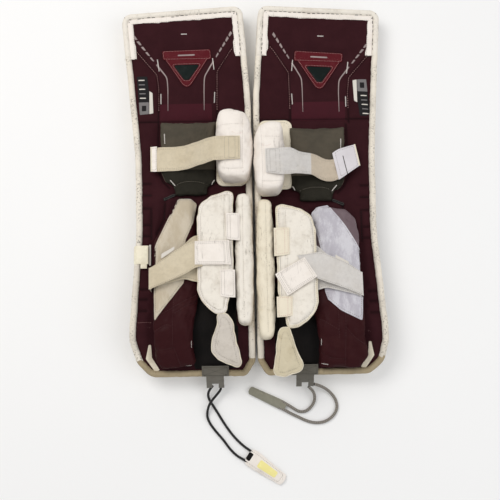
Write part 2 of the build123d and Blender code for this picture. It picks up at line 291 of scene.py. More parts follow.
class Shape:
    """Points and faces of one piece as it is put together, with a material for each face.

    Points carry two lengths, along and across, that woven materials follow."""

    def __init__(self):
        self.points, self.faces, self.looks, self.rows = [], [], [], []
        self.count = 0

    def add(self, made, material):
        """Adds a made mesh; material is one for all its faces or a list."""
        points, faces = made[0], made[1]
        lengths = made[2] if len(made) > 2 else np.zeros((len(points), 2))
        self.points.append(np.array(points, float))
        self.rows.append(lengths)
        self.faces += [[i + self.count for i in face] for face in faces]
        looks = material if isinstance(material, list) else [material] * len(faces)
        self.looks += looks
        self.count += len(points)
        return self

    def emit(self, name, pad=None, section=None, body=None, slot=None, flat=True):
        """The finished Blender object."""
        points = np.vstack(self.points)
        placed = bent(points, pad, section) if flat else points * MM
        flipped = flat and pad.mirrored
        faces = turned_over(self.faces) if flipped else self.faces
        mesh = bpy.data.meshes.new(name)
        mesh.from_pydata(placed.tolist(), [], faces)
        names = []
        for look in self.looks:
            if look.name not in names:
                names.append(look.name)
                mesh.materials.append(look)
        mesh.polygons.foreach_set("material_index", [names.index(k.name) for k in self.looks])
        mesh.polygons.foreach_set("use_smooth", [True] * len(faces))
        rows = np.vstack(self.rows)
        for i, label in enumerate(("along", "across")):
            attribute = mesh.attributes.new(label, "FLOAT", "POINT")
            attribute.data.foreach_set("value", rows[:, i].astype(np.float32))
        mesh.set_sharp_from_angle(angle=math.radians(50))
        mesh.update()
        obj = bpy.data.objects.new(name, mesh)
        bpy.context.scene.collection.objects.link(obj)
        if body:
            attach(obj, body)
        return obj


# ---- mesh makers: each gives points, faces and, if woven, lengths ---------------------------------
def grid_faces(rows, columns, close_rows=False, close_columns=False):
    """Quads between rows of points."""
    faces = []
    for i in range(rows if close_rows else rows - 1):
        for j in range(columns if close_columns else columns - 1):
            a, b = i * columns + j, i * columns + (j + 1) % columns
            c, d = (i + 1) % rows * columns + (j + 1) % columns, (i + 1) % rows * columns + j
            faces.append([a, b, c, d])
    return faces


def end_faces(rows, columns):
    """The faces that close the first and last ring of a tube."""
    last = (rows - 1) * columns
    return [list(range(columns))[::-1], [last + j for j in range(columns)]]


def rim_of(rows, columns):
    """Indices round the border of a grid of points."""
    rim = list(range(columns)) + [i * columns + columns - 1 for i in range(1, rows)]
    rim += [(rows - 1) * columns + j for j in range(columns - 2, -1, -1)]
    return rim + [i * columns for i in range(rows - 2, 0, -1)]


def turned_over(faces):
    """The same faces seen from their other side."""
    return [face[::-1] for face in faces]


def under_faces(faces, count):
    """The faces of a lower skin, whose points follow the upper skin's count points."""
    return [[i + count for i in face[::-1]] for face in faces]


def frames(line, closed=False):
    """Tangents and two normals along a line, with as little twist as can be."""
    if closed:
        tangent = np.roll(line, -1, 0) - np.roll(line, 1, 0)
    else:
        tangent = np.gradient(line, axis=0)
    tangent /= np.linalg.norm(tangent, axis=1)[:, None] + 1e-12
    side = np.cross(tangent[0], (0, 0, 1))
    if np.linalg.norm(side) < 0.1:
        side = np.cross(tangent[0], (0, 1, 0))
    sides = []
    for t in tangent:
        side = side - (side @ t) * t
        side = side / np.linalg.norm(side)
        sides.append(side)
    sides = np.array(sides)
    return tangent, sides, np.cross(sides, tangent)


def pipe(line, radius, closed=False, sides=8, profile=None):
    """A round tube along a line. profile(along, angle) scales its radius."""
    line = np.array(line, float)
    _, u, v = frames(line, closed)
    along = lengths_along(line)
    angles = np.linspace(0, 2 * np.pi, sides, endpoint=False)
    r = radius * (profile(along[:, None], angles[None]) if profile else np.ones((len(line), sides)))
    ring = line[:, None] + r[..., None] * (
        np.cos(angles)[None, :, None] * u[:, None] + np.sin(angles)[None, :, None] * v[:, None]
    )
    points = ring.reshape(-1, 3)
    faces = grid_faces(len(line), sides, close_rows=closed, close_columns=True)
    if not closed:
        faces += end_faces(len(line), sides)
    lengths = np.stack([np.repeat(along, sides), np.tile(angles, len(line))], 1)
    return points, faces, lengths


# Length, gap and radius of the threads used most.
SEAM_STITCH = (2.8, 1.8, 0.35)
STRAP_STITCH = (2.6, 1.6, 0.4)


def stitches(line, length=3.4, gap=1.8, radius=0.45, closed=False, jitter=0.0, seed=1):
    """A row of thread stitches lying along a line."""
    line = resampled(line, length + gap, closed)
    ends = np.roll(line, -1, 0) if closed else line[1:]
    starts = line if closed else line[:-1]
    draw = np.random.default_rng(seed)
    points, faces = [], []
    for a, b in zip(starts, ends):
        t = b - a
        t = t / (np.linalg.norm(t) + 1e-9)
        side = np.cross(t, (0, 0, 1))
        side /= np.linalg.norm(side) + 1e-9
        up = np.cross(side, t)
        middle = (a + b) / 2 + side * draw.normal(0, jitter) if jitter else (a + b) / 2
        base = len(points)
        points.append(middle - t * length / 2 - up * radius * 0.6)
        for share, thick in ((-0.32, 0.9), (0.32, 0.9)):
            for cu, cv in ((1, 0), (0, 1), (-1, 0), (0, -1)):
                points.append(middle + t * length * share + (side * cu + up * cv) * radius * thick)
        points.append(middle + t * length / 2 - up * radius * 0.6)
        for k in range(4):
            n = (k + 1) % 4
            faces.append([base, base + 1 + n, base + 1 + k])
            faces.append([base + 1 + k, base + 1 + n, base + 5 + n, base + 5 + k])
            faces.append([base + 9, base + 5 + k, base + 5 + n])
    return np.array(points), faces


def thick_sheet(top, thickness):
    """A closed sheet below a grid of top points, rows by columns, with softened edges."""
    rows, columns = top.shape[:2]
    du, dv = np.gradient(top, axis=0), np.gradient(top, axis=1)
    normal = np.cross(du, dv)
    normal /= np.linalg.norm(normal, axis=2)[..., None] + 1e-12
    if normal[..., 2].mean() < 0:
        normal = -normal
    low = top - normal * thickness
    edge = np.zeros((rows, columns))
    edge[0], edge[-1], edge[:, 0], edge[:, -1] = 1, 1, 1, 1
    top = top - normal * (edge * thickness * 0.25)[..., None]
    low = low + normal * (edge * thickness * 0.25)[..., None]
    points = np.vstack([top.reshape(-1, 3), low.reshape(-1, 3)])
    n = rows * columns
    faces = grid_faces(rows, columns)
    flipped = np.cross(top[1, 0] - top[0, 0], top[0, 1] - top[0, 0])[2] > 0
    if flipped:
        faces = turned_over(faces)
    rim = rim_of(rows, columns)
    wall = []
    for a, b in zip(rim, rim[1:] + rim[:1]):
        wall.append([b, a, a + n, b + n] if not flipped else [a, b, b + n, a + n])
    along = np.linalg.norm(np.diff(top, axis=0), axis=2).mean(1)
    across = np.linalg.norm(np.diff(top, axis=1), axis=2).mean(0)
    u = np.concatenate([[0], np.cumsum(along)])
    v = np.concatenate([[0], np.cumsum(across)])
    lengths = np.stack(np.meshgrid(u, v, indexing="ij"), 2).reshape(-1, 2)
    return points, faces + under_faces(faces, n) + wall, np.vstack([lengths, lengths])


def patch(plan, height, thickness, step=3.0, radius=0.0):
    """A thin closed patch with a plan of its own; its top follows height(x, y)."""
    line = resampled(rounded(plan, radius) if radius else plan, step, closed=True)
    middle = line.mean(0)
    rings = [line + (middle - line) * t for t in (0, 0.06, 0.25, 0.45, 0.65, 0.85)]
    top = np.vstack(rings)
    z = height(top[:, 0], top[:, 1])
    z[: len(line)] -= thickness * 0.3
    n = len(line)
    points = [np.column_stack([top, z + thickness])]
    points.append(np.column_stack([line, height(line[:, 0], line[:, 1]) - 0.5]))
    faces = grid_faces(len(rings), n, close_columns=True)
    faces.append([(len(rings) - 1) * n + i for i in range(n)])
    base = len(rings) * n
    for i in range(n):
        faces.append([i, base + i, base + (i + 1) % n, (i + 1) % n])
    faces.append([base + i for i in range(n)][::-1])
    if signed_area(line) < 0:
        faces = turned_over(faces)
    points = np.vstack(points)
    return points, faces, points[:, :2].copy()


def pillow(plan, low, high, edge, radius, step, top_height=None):
    """A closed slab with soft edges: the form that a stuffed piece is blown up from."""
    line = resampled(rounded(plan, radius), step, closed=True)
    normal = inward(line)
    rings = []
    levels = [(edge, low), (edge * 0.3, low + edge * 0.3), (0, low + edge)]
    levels += [(0, high - edge), (edge * 0.3, high - edge * 0.3), (edge, high)]
    for d, z in levels:
        flat = line + normal * d
        share = (z - low) / (high - low)
        top = top_height(flat[:, 0], flat[:, 1]) if top_height else np.full(len(flat), high)
        rings.append(np.column_stack([flat, low + (top - low) * share]))
    n = len(line)
    faces = grid_faces(len(rings), n, close_columns=True)
    middle = line.mean(0)
    top_z = top_height(*middle) if top_height else high
    rings.append(np.array([[*middle, top_z], [*middle, low]]))
    last = (len(levels) - 1) * n
    for i in range(n):
        faces.append([last + i, last + (i + 1) % n, len(levels) * n])
        faces.append([(i + 1) % n, i, len(levels) * n + 1])
    if signed_area(line) < 0:
        faces = turned_over(faces)
    return np.vstack(rings), faces


# ---- cloth: stuffed pieces are blown up once and used on both pads --------------------------------
CLOTH_FRAMES = 20
CLOTH_PRESSURE = 4.0


def swell(form, voxel, cap):
    """The form remeshed and inflated as cloth; no point moves further than cap. Millimetres."""
    points, faces = form[0], form[1]
    floor = points[:, 2].min()
    mesh = bpy.data.meshes.new("form")
    mesh.from_pydata((points * MM).tolist(), [], faces)
    obj = bpy.data.objects.new("form", mesh)
    bpy.context.scene.collection.objects.link(obj)
    remesh = obj.modifiers.new("remesh", "REMESH")
    remesh.mode = "VOXEL"
    remesh.voxel_size = voxel * MM
    apply_modifiers(obj)
    rest = coordinates(obj)
    cloth = obj.modifiers.new("cloth", "CLOTH")
    cloth.settings.quality = 4
    cloth.settings.mass = 0.3
    cloth.settings.tension_stiffness = 12
    cloth.settings.compression_stiffness = 12
    cloth.settings.bending_stiffness = 0.6
    cloth.settings.use_pressure = True
    cloth.settings.uniform_pressure_force = CLOTH_PRESSURE
    cloth.settings.effector_weights.gravity = 0
    cloth.point_cache.frame_start = 1
    cloth.point_cache.frame_end = CLOTH_FRAMES
    for step in range(1, CLOTH_FRAMES + 1):
        bpy.context.scene.frame_set(step)
    apply_modifiers(obj)
    bpy.context.scene.frame_set(1)
    move = coordinates(obj) - rest
    length = np.linalg.norm(move, axis=1)[:, None] + 1e-12
    moved = rest + move * np.minimum(1, cap * MM / length)
    moved[:, 2] = np.maximum(moved[:, 2], floor * MM)
    obj.data.vertices.foreach_set("co", moved.astype(np.float32).ravel())
    finer = obj.modifiers.new("finer", "SUBSURF")
    finer.levels = 1
    apply_modifiers(obj)
    found = coordinates(obj) / MM, [list(p.vertices) for p in obj.data.polygons]
    bpy.data.objects.remove(obj)
    return found


def apply_modifiers(obj):
    """Replace an object's mesh by the one its modifiers make."""
    bpy.context.view_layer.update()
    made = obj.evaluated_get(bpy.context.evaluated_depsgraph_get())
    mesh = bpy.data.meshes.new_from_object(made)
    obj.modifiers.clear()
    obj.data = mesh


def coordinates(obj):
    """An object's points as an array."""
    co = np.zeros(len(obj.data.vertices) * 3)
    obj.data.vertices.foreach_get("co", co)
    return co.reshape(-1, 3)


def point_normals(points, faces):
    """Unit normals of a mesh's points."""
    normal = np.zeros_like(points)
    for size in (3, 4):
        these = np.array([f for f in faces if len(f) == size])
        if len(these):
            a, b, c = points[these[:, 0]], points[these[:, 1]], points[these[:, 2]]
            n = np.cross(b - a, c - a)
            for k in range(size):
                np.add.at(normal, these[:, k], n)
    return normal / (np.linalg.norm(normal, axis=1)[:, None] + 1e-12)


def worked(made, grooves=(), depth=1.6, width=4.0, crease=0.5, size=26.0, seed=1, creases=()):
    """A stuffed shape with seams pulled in along grooves, fine creases and general unevenness."""
    points, faces = made
    normal = point_normals(points, faces)
    x, y, z = points.T
    push = crease * (waves(x + 0.6 * z, y, size, seed) + 0.5 * waves(x, y + z, size / 2.6, seed + 1))
    folds = waves(x * 1.0 + z, y * 0.35, 9.0, seed + 2) * np.clip(waves(x, y, 60, seed + 3), 0, 1)
    push = push + 0.35 * folds
    for line in grooves:
        near = distance_3d(points, line)
        push = push - depth * np.exp(-((near / width) ** 2))
    for line, deep in creases:
        push = push - deep * np.exp(-((distance_to(x, y, [line]) / 3.2) ** 2))
    return points + normal * push[:, None], faces


def distance_3d(points, line):
    """Distance of points from a line in space."""
    best = np.full(len(points), 1e9)
    for a, b in zip(line[:-1], line[1:]):
        d = b - a
        t = np.clip((points - a) @ d / (d @ d + 1e-9), 0, 1)
        best = np.minimum(best, np.linalg.norm(points - a - t[:, None] * d, axis=1))
    return best


class Surface:
    """Answers how high a made shape is at a plan point."""

    def __init__(self, made):
        self.tree = BVHTree.FromPolygons(made[0].tolist(), made[1])

    def line(self, plan, lift=0.0, step=4.0, closed=False):
        """A plan line dropped onto the shape from above."""
        flat = resampled(plan, step, closed)
        found = []
        for x, y in flat:
            hit = self.tree.ray_cast(Vector((x, y, 400)), Vector((0, 0, -1)))
            if hit[0] is not None:
                found.append((x, y, hit[0].z + lift))
        return np.array(found)

    def around(self, plan, level, lift=0.0, step=4.0):
        """A closed line round the shape's side at a height, cast from outside a plan line."""
        flat = resampled(plan, step, closed=True)
        normal = inward(flat)
        found = []
        for (x, y), (nx, ny) in zip(flat, normal):
            start = Vector((x - nx * 40, y - ny * 40, level))
            hit = self.tree.ray_cast(start, Vector((nx, ny, 0)))
            if hit[0] is not None:
                found.append((hit[0].x - nx * lift, hit[0].y - ny * lift, level))
        return eased(np.array(found), 2, closed=True)


# ---- materials -----------------------------------------------------------------------------------
class Nodes:
    """Short words for building a node material."""

    def __init__(self, name, roughness=0.6, sheen=0.0, coat=0.0, specular=0.5):
        self.material = bpy.data.materials.new(name)
        self.material.use_nodes = True
        self.tree = self.material.node_tree
        self.shader = self.tree.nodes["Principled BSDF"]
        self.shader.inputs["Roughness"].default_value = roughness
        self.shader.inputs["Sheen Weight"].default_value = sheen
        self.shader.inputs["Sheen Roughness"].default_value = 0.5
        self.shader.inputs["Coat Weight"].default_value = coat
        self.shader.inputs["Specular IOR Level"].default_value = specular
        self.place = self.tree.nodes.new("ShaderNodeTexCoord").outputs["Object"]

    def link(self, source, target):
        """Joins two sockets."""
        self.tree.links.new(source, target)

    def stretched(self, scale, turn=0.0):
        """Object coordinates scaled by axis."""
        node = self.tree.nodes.new("ShaderNodeMapping")
        self.link(self.place, node.inputs["Vector"])
        node.inputs["Scale"].default_value = scale
        node.inputs["Rotation"].default_value = (0, 0, turn)
        return node.outputs["Vector"]

    def noise(self, scale, detail=3.0, rough=0.55, vector=None, distortion=0.0):
        """Cloudy noise from 0 to 1."""
        node = self.tree.nodes.new("ShaderNodeTexNoise")
        self.link(vector or self.place, node.inputs["Vector"])
        node.inputs["Scale"].default_value = scale
        node.inputs["Detail"].default_value = detail
        node.inputs["Roughness"].default_value = rough
        node.inputs["Distortion"].default_value = distortion
        return node.outputs["Fac"]

    def cells(self, scale):
        """Distance to the nearest cell's middle."""
        node = self.tree.nodes.new("ShaderNodeTexVoronoi")
        self.link(self.place, node.inputs["Vector"])
        node.inputs["Scale"].default_value = scale
        return node.outputs["Distance"]

    def attribute(self, name):
        """A number that the mesh carries at its points."""
        node = self.tree.nodes.new("ShaderNodeAttribute")
        node.attribute_name = name
        return node.outputs["Fac"]

    def sum(self, operation, a, b=None):
        """A Math node on sockets or numbers."""
        node = self.tree.nodes.new("ShaderNodeMath")
        node.operation = operation
        for socket, value in zip(node.inputs, (a, b)):
            if value is None:
                continue
            if isinstance(value, (int, float)):
                socket.default_value = value
            else:
                self.link(value, socket)
        return node.outputs["Value"]

    def step(self, value, low, high, to=(0.0, 1.0)):
        """value eased from low to high."""
        node = self.tree.nodes.new("ShaderNodeMapRange")
        node.interpolation_type = "SMOOTHSTEP"
        self.link(value, node.inputs["Value"])
        for socket, number in zip(("From Min", "From Max", "To Min", "To Max"), (low, high, *to)):
            node.inputs[socket].default_value = number
        return node.outputs["Result"]

    def mix(self, share, a, b):
        """Colours a and b blended by share."""
        node = self.tree.nodes.new("ShaderNodeMix")
        node.data_type = "RGBA"
        self.link(share, node.inputs["Factor"])
        for socket, value in ((node.inputs[6], a), (node.inputs[7], b)):
            if isinstance(value, tuple):
                socket.default_value = (*value, 1.0)
            else:
                self.link(value, socket)
        return node.outputs[2]

    def colour(self, value):
        """Sets the base colour."""
        self.link(value, self.shader.inputs["Base Color"])
        return self

    def rough(self, value):
        """Sets the roughness."""
        self.link(value, self.shader.inputs["Roughness"])
        return self

    def bump(self, height, strength, distance):
        """Adds a layer of relief; distance is in metres."""
        node = self.tree.nodes.new("ShaderNodeBump")
        node.inputs["Strength"].default_value = strength
        node.inputs["Distance"].default_value = distance
        self.link(height, node.inputs["Height"])
        socket = self.shader.inputs["Normal"]
        if socket.is_linked:
            self.link(socket.links[0].from_socket, node.inputs["Normal"])
        self.link(node.outputs["Normal"], socket)
        return self


def tinted(colour, share):
    """A colour made darker by a share."""
    return tuple(c * share for c in colour)


def leather(name, colour, dirt_and_shade, roughness=0.5, scuffs=0.5, grain=1.0, stains=0.5, specular=0.35):
    """Grained leather with rubbed, stained and scuffed patches."""
    n = Nodes(name, roughness, specular=specular)
    cloudy = n.step(n.noise(22, 5, 0.65), 0.48, 0.74)
    base = n.mix(n.sum("MULTIPLY", cloudy, stains), colour, dirt_and_shade)
    dark = tinted(dirt_and_shade, 0.42)
    worn = n.step(n.noise(13, 3, 0.6), 0.46, 0.62)
    for turn, long in ((0.5, 0.13), (-0.35, 0.2), (1.5, 0.1)):
        streak = n.step(n.noise(260, 3, 0.6, n.stretched((1.0, long, 0.4), turn), 0.8), 0.62, 0.70)
        base = n.mix(n.sum("MULTIPLY", n.sum("MULTIPLY", streak, worn), scuffs), base, dark)
    smudge = n.sum("MULTIPLY", n.step(n.noise(75, 5, 0.7), 0.52, 0.68), 0.35 * scuffs)
    base = n.mix(smudge, base, tinted(dirt_and_shade, 0.8))
    speck = n.sum("MULTIPLY", n.step(n.noise(480, 2, 0.5), 0.66, 0.72), 0.4 * scuffs)
    n.colour(n.mix(speck, base, dark))
    n.rough(n.step(n.noise(40, 3), 0.3, 0.7, (roughness - 0.08, roughness + 0.12)))
    n.bump(n.cells(900), 0.35 * grain, 0.0004)
    n.bump(n.noise(140, 5, 0.65), 0.4 * grain, 0.0012)
    return n.material


WAVE_TURN = 6.28         # divides a weave's pitch into its wave textures' scale


def woven(name, colour, second, pitch, patchy=0.5, relief=0.4, seams=False):
    """Plain-weave cloth: two crossing thread waves, mottled by use, and, if asked, painted shade
    darkening it along seams.
    """
    n = Nodes(name, 0.8, specular=0.08)
    waves_made = []
    for axis in ("X", "Y"):
        node = n.tree.nodes.new("ShaderNodeTexWave")
        node.bands_direction = axis
        node.inputs["Scale"].default_value = pitch / WAVE_TURN
        node.inputs["Distortion"].default_value = 0.4
        n.link(n.place, node.inputs["Vector"])
        waves_made.append(node.outputs["Fac"])
    weave = n.sum("MULTIPLY", *waves_made)
    mottle = n.step(n.noise(26, 4, 0.6), 0.35, 0.7)
    base = n.mix(n.sum("MULTIPLY", mottle, patchy), colour, second)
    shade = tinted(colour, 0.72)
    base = n.mix(n.step(weave, 0.0, 0.25, (0.45, 0.0)), base, shade)
    # painted shade: the cloth is darkened near seams, by the closeness that the mesh carries as along
    if seams:
        shadow = n.sum("MULTIPLY", n.attribute("along"), 0.8)
        base = n.mix(shadow, base, tinted(colour, 0.2))
    n.colour(base)
    n.bump(weave, relief, 0.0004)
    n.bump(n.noise(95, 4, 0.6), 0.25, 0.0012)
    return n.material


def ribbed(name, colour, dirt_and_shade, rib=1.6, depth=0.5, dirtiness=0.5):
    """Webbing or elastic: ribs that run along the strap, crossed by fine picks."""
    n = Nodes(name, 0.82, 0.25, specular=0.2)
    turn = 2 * math.pi / rib
    ribs = n.sum("SINE", n.sum("MULTIPLY", n.attribute("across"), turn))
    picks = n.sum("SINE", n.sum("MULTIPLY", n.attribute("along"), turn * 1.7))
    cloth = n.sum("ADD", n.sum("MULTIPLY", ribs, 0.6), n.sum("MULTIPLY", picks, 0.4))
    grime = n.step(n.noise(20, 5, 0.65), 0.40, 0.75)
    fine = n.step(n.noise(160, 3, 0.6), 0.35, 0.75)
    base = n.mix(n.sum("MULTIPLY", grime, dirtiness), colour, dirt_and_shade)
    base = n.mix(n.sum("MULTIPLY", fine, 0.35), base, tinted(colour, 0.8))
    n.colour(n.mix(n.step(cloth, -0.9, 0.1, (0.4, 0.0)), base, tinted(colour, 0.62)))
    n.bump(cloth, depth, 0.0005)
    n.bump(n.noise(110, 4, 0.6), 0.3, 0.0012)
    return n.material


def fuzzy(name, colour, second):
    """Loop fabric: a soft nap with brushed patches."""
    n = Nodes(name, 0.95, 0.5, specular=0.1)
    nap = n.noise(1300, 4, 0.8)
    brushed = n.step(n.noise(42, 6, 0.75, n.stretched((1, 0.4, 1), 0.5)), 0.42, 0.6)
    base = n.mix(n.sum("MULTIPLY", brushed, 0.85), colour, second)
    n.colour(n.mix(n.step(nap, 0.3, 0.6, (0.5, 0.0)), base, tinted(colour, 0.7)))
    n.bump(nap, 0.6, 0.0009)
    n.bump(n.noise(170, 4, 0.6), 0.4, 0.0012)
    return n.material


def glossy(name, colour, roughness=0.22, coat=0.4, relief=0.15, specular=0.5):
    """Smooth moulded or film-faced stuff with a faint orange peel and rubbed spots."""
    n = Nodes(name, roughness, coat=coat, specular=specular)
    rub = n.step(n.noise(90, 4, 0.6), 0.5, 0.75, (0.0, 0.5))
    n.colour(n.mix(rub, colour, tuple(min(1.0, c * 1.35 + 0.01) for c in colour)))
    n.rough(n.step(n.noise(60, 3), 0.3, 0.7, (roughness, roughness + 0.2)))
    n.bump(n.noise(260, 3), relief, 0.0006)
    return n.material


def thread(name, colour):
    """Sewing thread with its twist."""
    n = Nodes(name, 0.7, 0.2, specular=0.3)
    twist = n.noise(1600, 2, 0.5)
    n.colour(n.mix(n.step(twist, 0.4, 0.6), colour, tinted(colour, 0.75)))
    n.bump(twist, 0.4, 0.0003)
    return n.material


def bound(name, colour, dirt_and_shade):
    """Edge binding: coarse cream weave, blackened in specks by boards and pucks."""
    n = Nodes(name, 0.85, 0.2, specular=0.2)
    coarse = n.noise(520, 3, 0.7)
    fine, broad = n.step(n.noise(240, 5, 0.75), 0.52, 0.62), n.step(n.noise(24, 3), 0.38, 0.6)
    specks = n.sum("MULTIPLY", fine, broad)
    base = n.mix(n.step(n.noise(18, 4, 0.6), 0.4, 0.7), colour, tinted(colour, 0.86))
    base = n.mix(n.sum("MULTIPLY", specks, 0.75), base, dirt_and_shade)
    n.colour(base)
    n.bump(coarse, 0.5, 0.0008)
    n.bump(n.noise(120, 4), 0.35, 0.0012)
    return n.material


def braided(name, colour, fleck, strands=8.0, pitch=6.0):
    """Braided cover: crossing diagonal strands, some of them flecked."""
    n = Nodes(name, 0.7, 0.2, specular=0.3)
    along = n.sum("MULTIPLY", n.attribute("along"), 2 * math.pi / pitch)
    around = n.sum("MULTIPLY", n.attribute("across"), strands / 2)
    one = n.sum("SINE", n.sum("ADD", around, along))
    two = n.sum("SINE", n.sum("SUBTRACT", around, along))
    cross = n.sum("MULTIPLY", one, two)
    n.colour(n.mix(n.step(cross, -0.1, 0.3), colour, fleck))
    n.bump(cross, 0.5, 0.0006)
    return n.material


LEATHER = leather("white_leather", (0.80, 0.75, 0.67), (0.50, 0.44, 0.36), 0.52, 0.75)
LEATHER_CLEAN = leather("white_leather_clean", (0.84, 0.78, 0.72), (0.62, 0.55, 0.48), 0.5, 0.4, 0.8, 0.4)
TAN = leather("tan_leather", (0.37, 0.30, 0.19), (0.26, 0.20, 0.12), 0.6, 0.6, 1.0, 0.6, 0.2)
LEATHER_CREAM = leather("cream_leather", (0.78, 0.71, 0.57), (0.56, 0.47, 0.34), 0.55, 0.5)
BINDING = bound("edge_binding", (0.80, 0.74, 0.64), (0.10, 0.085, 0.07))
NYLON = woven("maroon_nylon", (0.031, 0.0072, 0.0098), (0.046, 0.0115, 0.0150), 1100, seams=True)
NYLON_RED = woven("maroon_nylon_red", (0.056, 0.0105, 0.0165), (0.040, 0.009, 0.013), 1100, seams=True)
MAROON = leather("maroon_leather", (0.031, 0.0062, 0.0075), (0.050, 0.015, 0.015), 0.5, 0.15,
                 specular=0.07)
GLOSS = glossy("maroon_gloss", (0.088, 0.0080, 0.0125), 0.5, 0.0, specular=0.08)
WINDOW = glossy("window_film", (0.0035, 0.0075, 0.0065), 0.4, 0.0, specular=0.1)
CHARCOAL = woven("charcoal_fabric", (0.092, 0.078, 0.058), (0.058, 0.052, 0.040), 700, patchy=0.7)
BLACK = woven("black_fabric", (0.009, 0.008, 0.008), (0.015, 0.012, 0.011), 800)
# painted shade: the darker copy of the charcoal that the knee cushion gets below its strap
SHADE = woven("charcoal_painted_shade", (0.022, 0.020, 0.015), (0.030, 0.027, 0.020), 700, patchy=0.7)
LABEL = woven("label_cloth", (0.018, 0.017, 0.018), (0.026, 0.025, 0.026), 1500, patchy=0.4, relief=0.2)
LABEL_GREY = woven("label_grey", (0.20, 0.19, 0.19), (0.16, 0.15, 0.15), 1500, patchy=0.4, relief=0.2)
LABEL_WHITE = woven("label_white", (0.72, 0.68, 0.62), (0.6, 0.55, 0.48), 1500, patchy=0.4, relief=0.2)
THREAD_PINK = thread("pink_thread", (0.60, 0.34, 0.32))
THREAD_DARK = thread("maroon_thread", (0.010, 0.004, 0.005))
THREAD_WHITE = thread("white_thread", (0.90, 0.85, 0.80))
THREAD_GREY = thread("grey_thread", (0.24, 0.21, 0.17))
THREAD_BLACK = thread("black_thread", (0.03, 0.025, 0.02))
STRIPE = woven("grey_stripe", (0.36, 0.29, 0.28), (0.22, 0.18, 0.18), 1500, patchy=0.6, relief=0.2)
PLASTIC = glossy("white_plastic", (0.78, 0.72, 0.56), 0.35, 0.1)
YELLOW = glossy("yellow_panel", (0.86, 0.77, 0.30), 0.35, 0.1)
TAB = ribbed("grey_webbing", (0.135, 0.124, 0.102), (0.20, 0.185, 0.155), 1.8, 0.6)
OLIVE = ribbed("olive_webbing", (0.29, 0.28, 0.22), (0.20, 0.19, 0.15), 1.8, 0.6)
BUNGEE = braided("black_bungee", (0.004, 0.004, 0.0045), (0.014, 0.013, 0.013), 8, 5)
BRAID = braided("grey_braid", (0.33, 0.30, 0.26), (0.05, 0.045, 0.04), 10, 8)
STRAP = {
    "left": ribbed("strap_cream", (0.71, 0.62, 0.46), (0.52, 0.43, 0.28)),
    "right": ribbed("strap_grey", (0.72, 0.69, 0.66), (0.58, 0.53, 0.47)),
}
STRAP_TAN = ribbed("strap_tan", (0.60, 0.51, 0.40), (0.48, 0.39, 0.29))
TIP_WHITE = woven("tip_white", (0.72, 0.69, 0.72), (0.60, 0.56, 0.58), 1100, patchy=0.6)
GREY_LEATHER = leather("grey_leather", (0.58, 0.53, 0.47), (0.42, 0.37, 0.30), 0.52, 0.6)
KHAKI_LEATHER = leather("khaki_leather", (0.60, 0.53, 0.38), (0.44, 0.37, 0.24), 0.55, 0.5)
# painted highlight: a lighter copy of the maroon leather for the part of the right pad's channel where
# light falls
MAROON_PAINTED_HIGHLIGHT = leather("maroon_painted_highlight", (0.13, 0.088, 0.10), (0.22, 0.17, 0.19), 0.4, 0.1, specular=0.3)
SEAM_RED = thread("seam_red", (0.075, 0.022, 0.024))
LOOP = {
    "left": fuzzy("loop_beige", (0.55, 0.47, 0.35), (0.64, 0.57, 0.46)),
    "right": fuzzy("loop_grey", (0.50, 0.48, 0.53), (0.70, 0.69, 0.73)),
}


# ---- toe ties --------------------------------------------------------------------------------
# The routes repeat the centrelines of the part's cords, row frame, metres.
BUNGEE_D = 0.0055
LACE_D = 0.0065
LEFT_TIE = [
    (-0.096, -0.429, 0.025), (-0.103, -0.436, 0.0205), (-0.1075, -0.446, 0.013),
    (-0.106, -0.456, 0.006), (-0.100, -0.466, 0.0028), (-0.088, -0.485, 0.0028),
    (-0.073, -0.510, 0.0028), (-0.054, -0.537, 0.0028), (-0.033, -0.558, 0.0028),
    (-0.014, -0.571, 0.0045), (0.0065, -0.584, 0.0056), (-0.008, -0.604, 0.0056),
    (-0.029, -0.589, 0.0045), (-0.046, -0.580, 0.0028), (-0.062, -0.564, 0.0028),
    (-0.075, -0.545, 0.0028), (-0.092, -0.526, 0.0028), (-0.106, -0.507, 0.0028),
    (-0.111, -0.490, 0.005), (-0.105, -0.469, 0.0146), (-0.096, -0.457, 0.0154),
    (-0.087, -0.447, 0.017), (-0.0795, -0.438, 0.020), (-0.0775, -0.429, 0.025),
    (-0.080, -0.4215, 0.031),
]
RIGHT_TIE = [
    (0.112, -0.434, 0.025), (0.121, -0.442, 0.0195), (0.126, -0.453, 0.012),
    (0.1255, -0.465, 0.0055), (0.119, -0.477, 0.0033), (0.107, -0.487, 0.0033),
    (0.092, -0.488, 0.0033), (0.079, -0.480, 0.0042), (0.065, -0.471, 0.0052),
    (0.0487, -0.4621, 0.0056), (0.0429, -0.4743, 0.0056), (0.059, -0.483, 0.0052),
    (0.075, -0.492, 0.004), (0.091, -0.4995, 0.0033), (0.108, -0.508, 0.0033),
    (0.129, -0.513, 0.0033), (0.151, -0.509, 0.0033), (0.168, -0.496, 0.0033),
    (0.1755, -0.479, 0.0033), (0.172, -0.462, 0.0038), (0.162, -0.448, 0.008),
    (0.149, -0.438, 0.015), (0.136, -0.432, 0.023), (0.124, -0.429, 0.030),
]


def spline_line(route, diameter):
    """Points along the smooth line that the route controls, millimetres, a third of a diameter apart."""
    data = bpy.data.curves.new("route", "CURVE")
    data.dimensions = "3D"
    spline = data.splines.new("NURBS")
    spline.points.add(len(route) - 1)
    for point, place in zip(spline.points, route):
        point.co = (*place, 1.0)
    spline.order_u = 3
    spline.use_endpoint_u = True
    spline.resolution_u = 12
    carrier = bpy.data.objects.new("route", data)
    bpy.context.scene.collection.objects.link(carrier)
    bpy.context.view_layer.update()
    made = carrier.evaluated_get(bpy.context.evaluated_depsgraph_get())
    mesh = bpy.data.meshes.new_from_object(made)
    line = np.array([v.co for v in mesh.vertices], float) / MM
    bpy.data.objects.remove(carrier)
    return resampled(line, diameter / MM / 3)


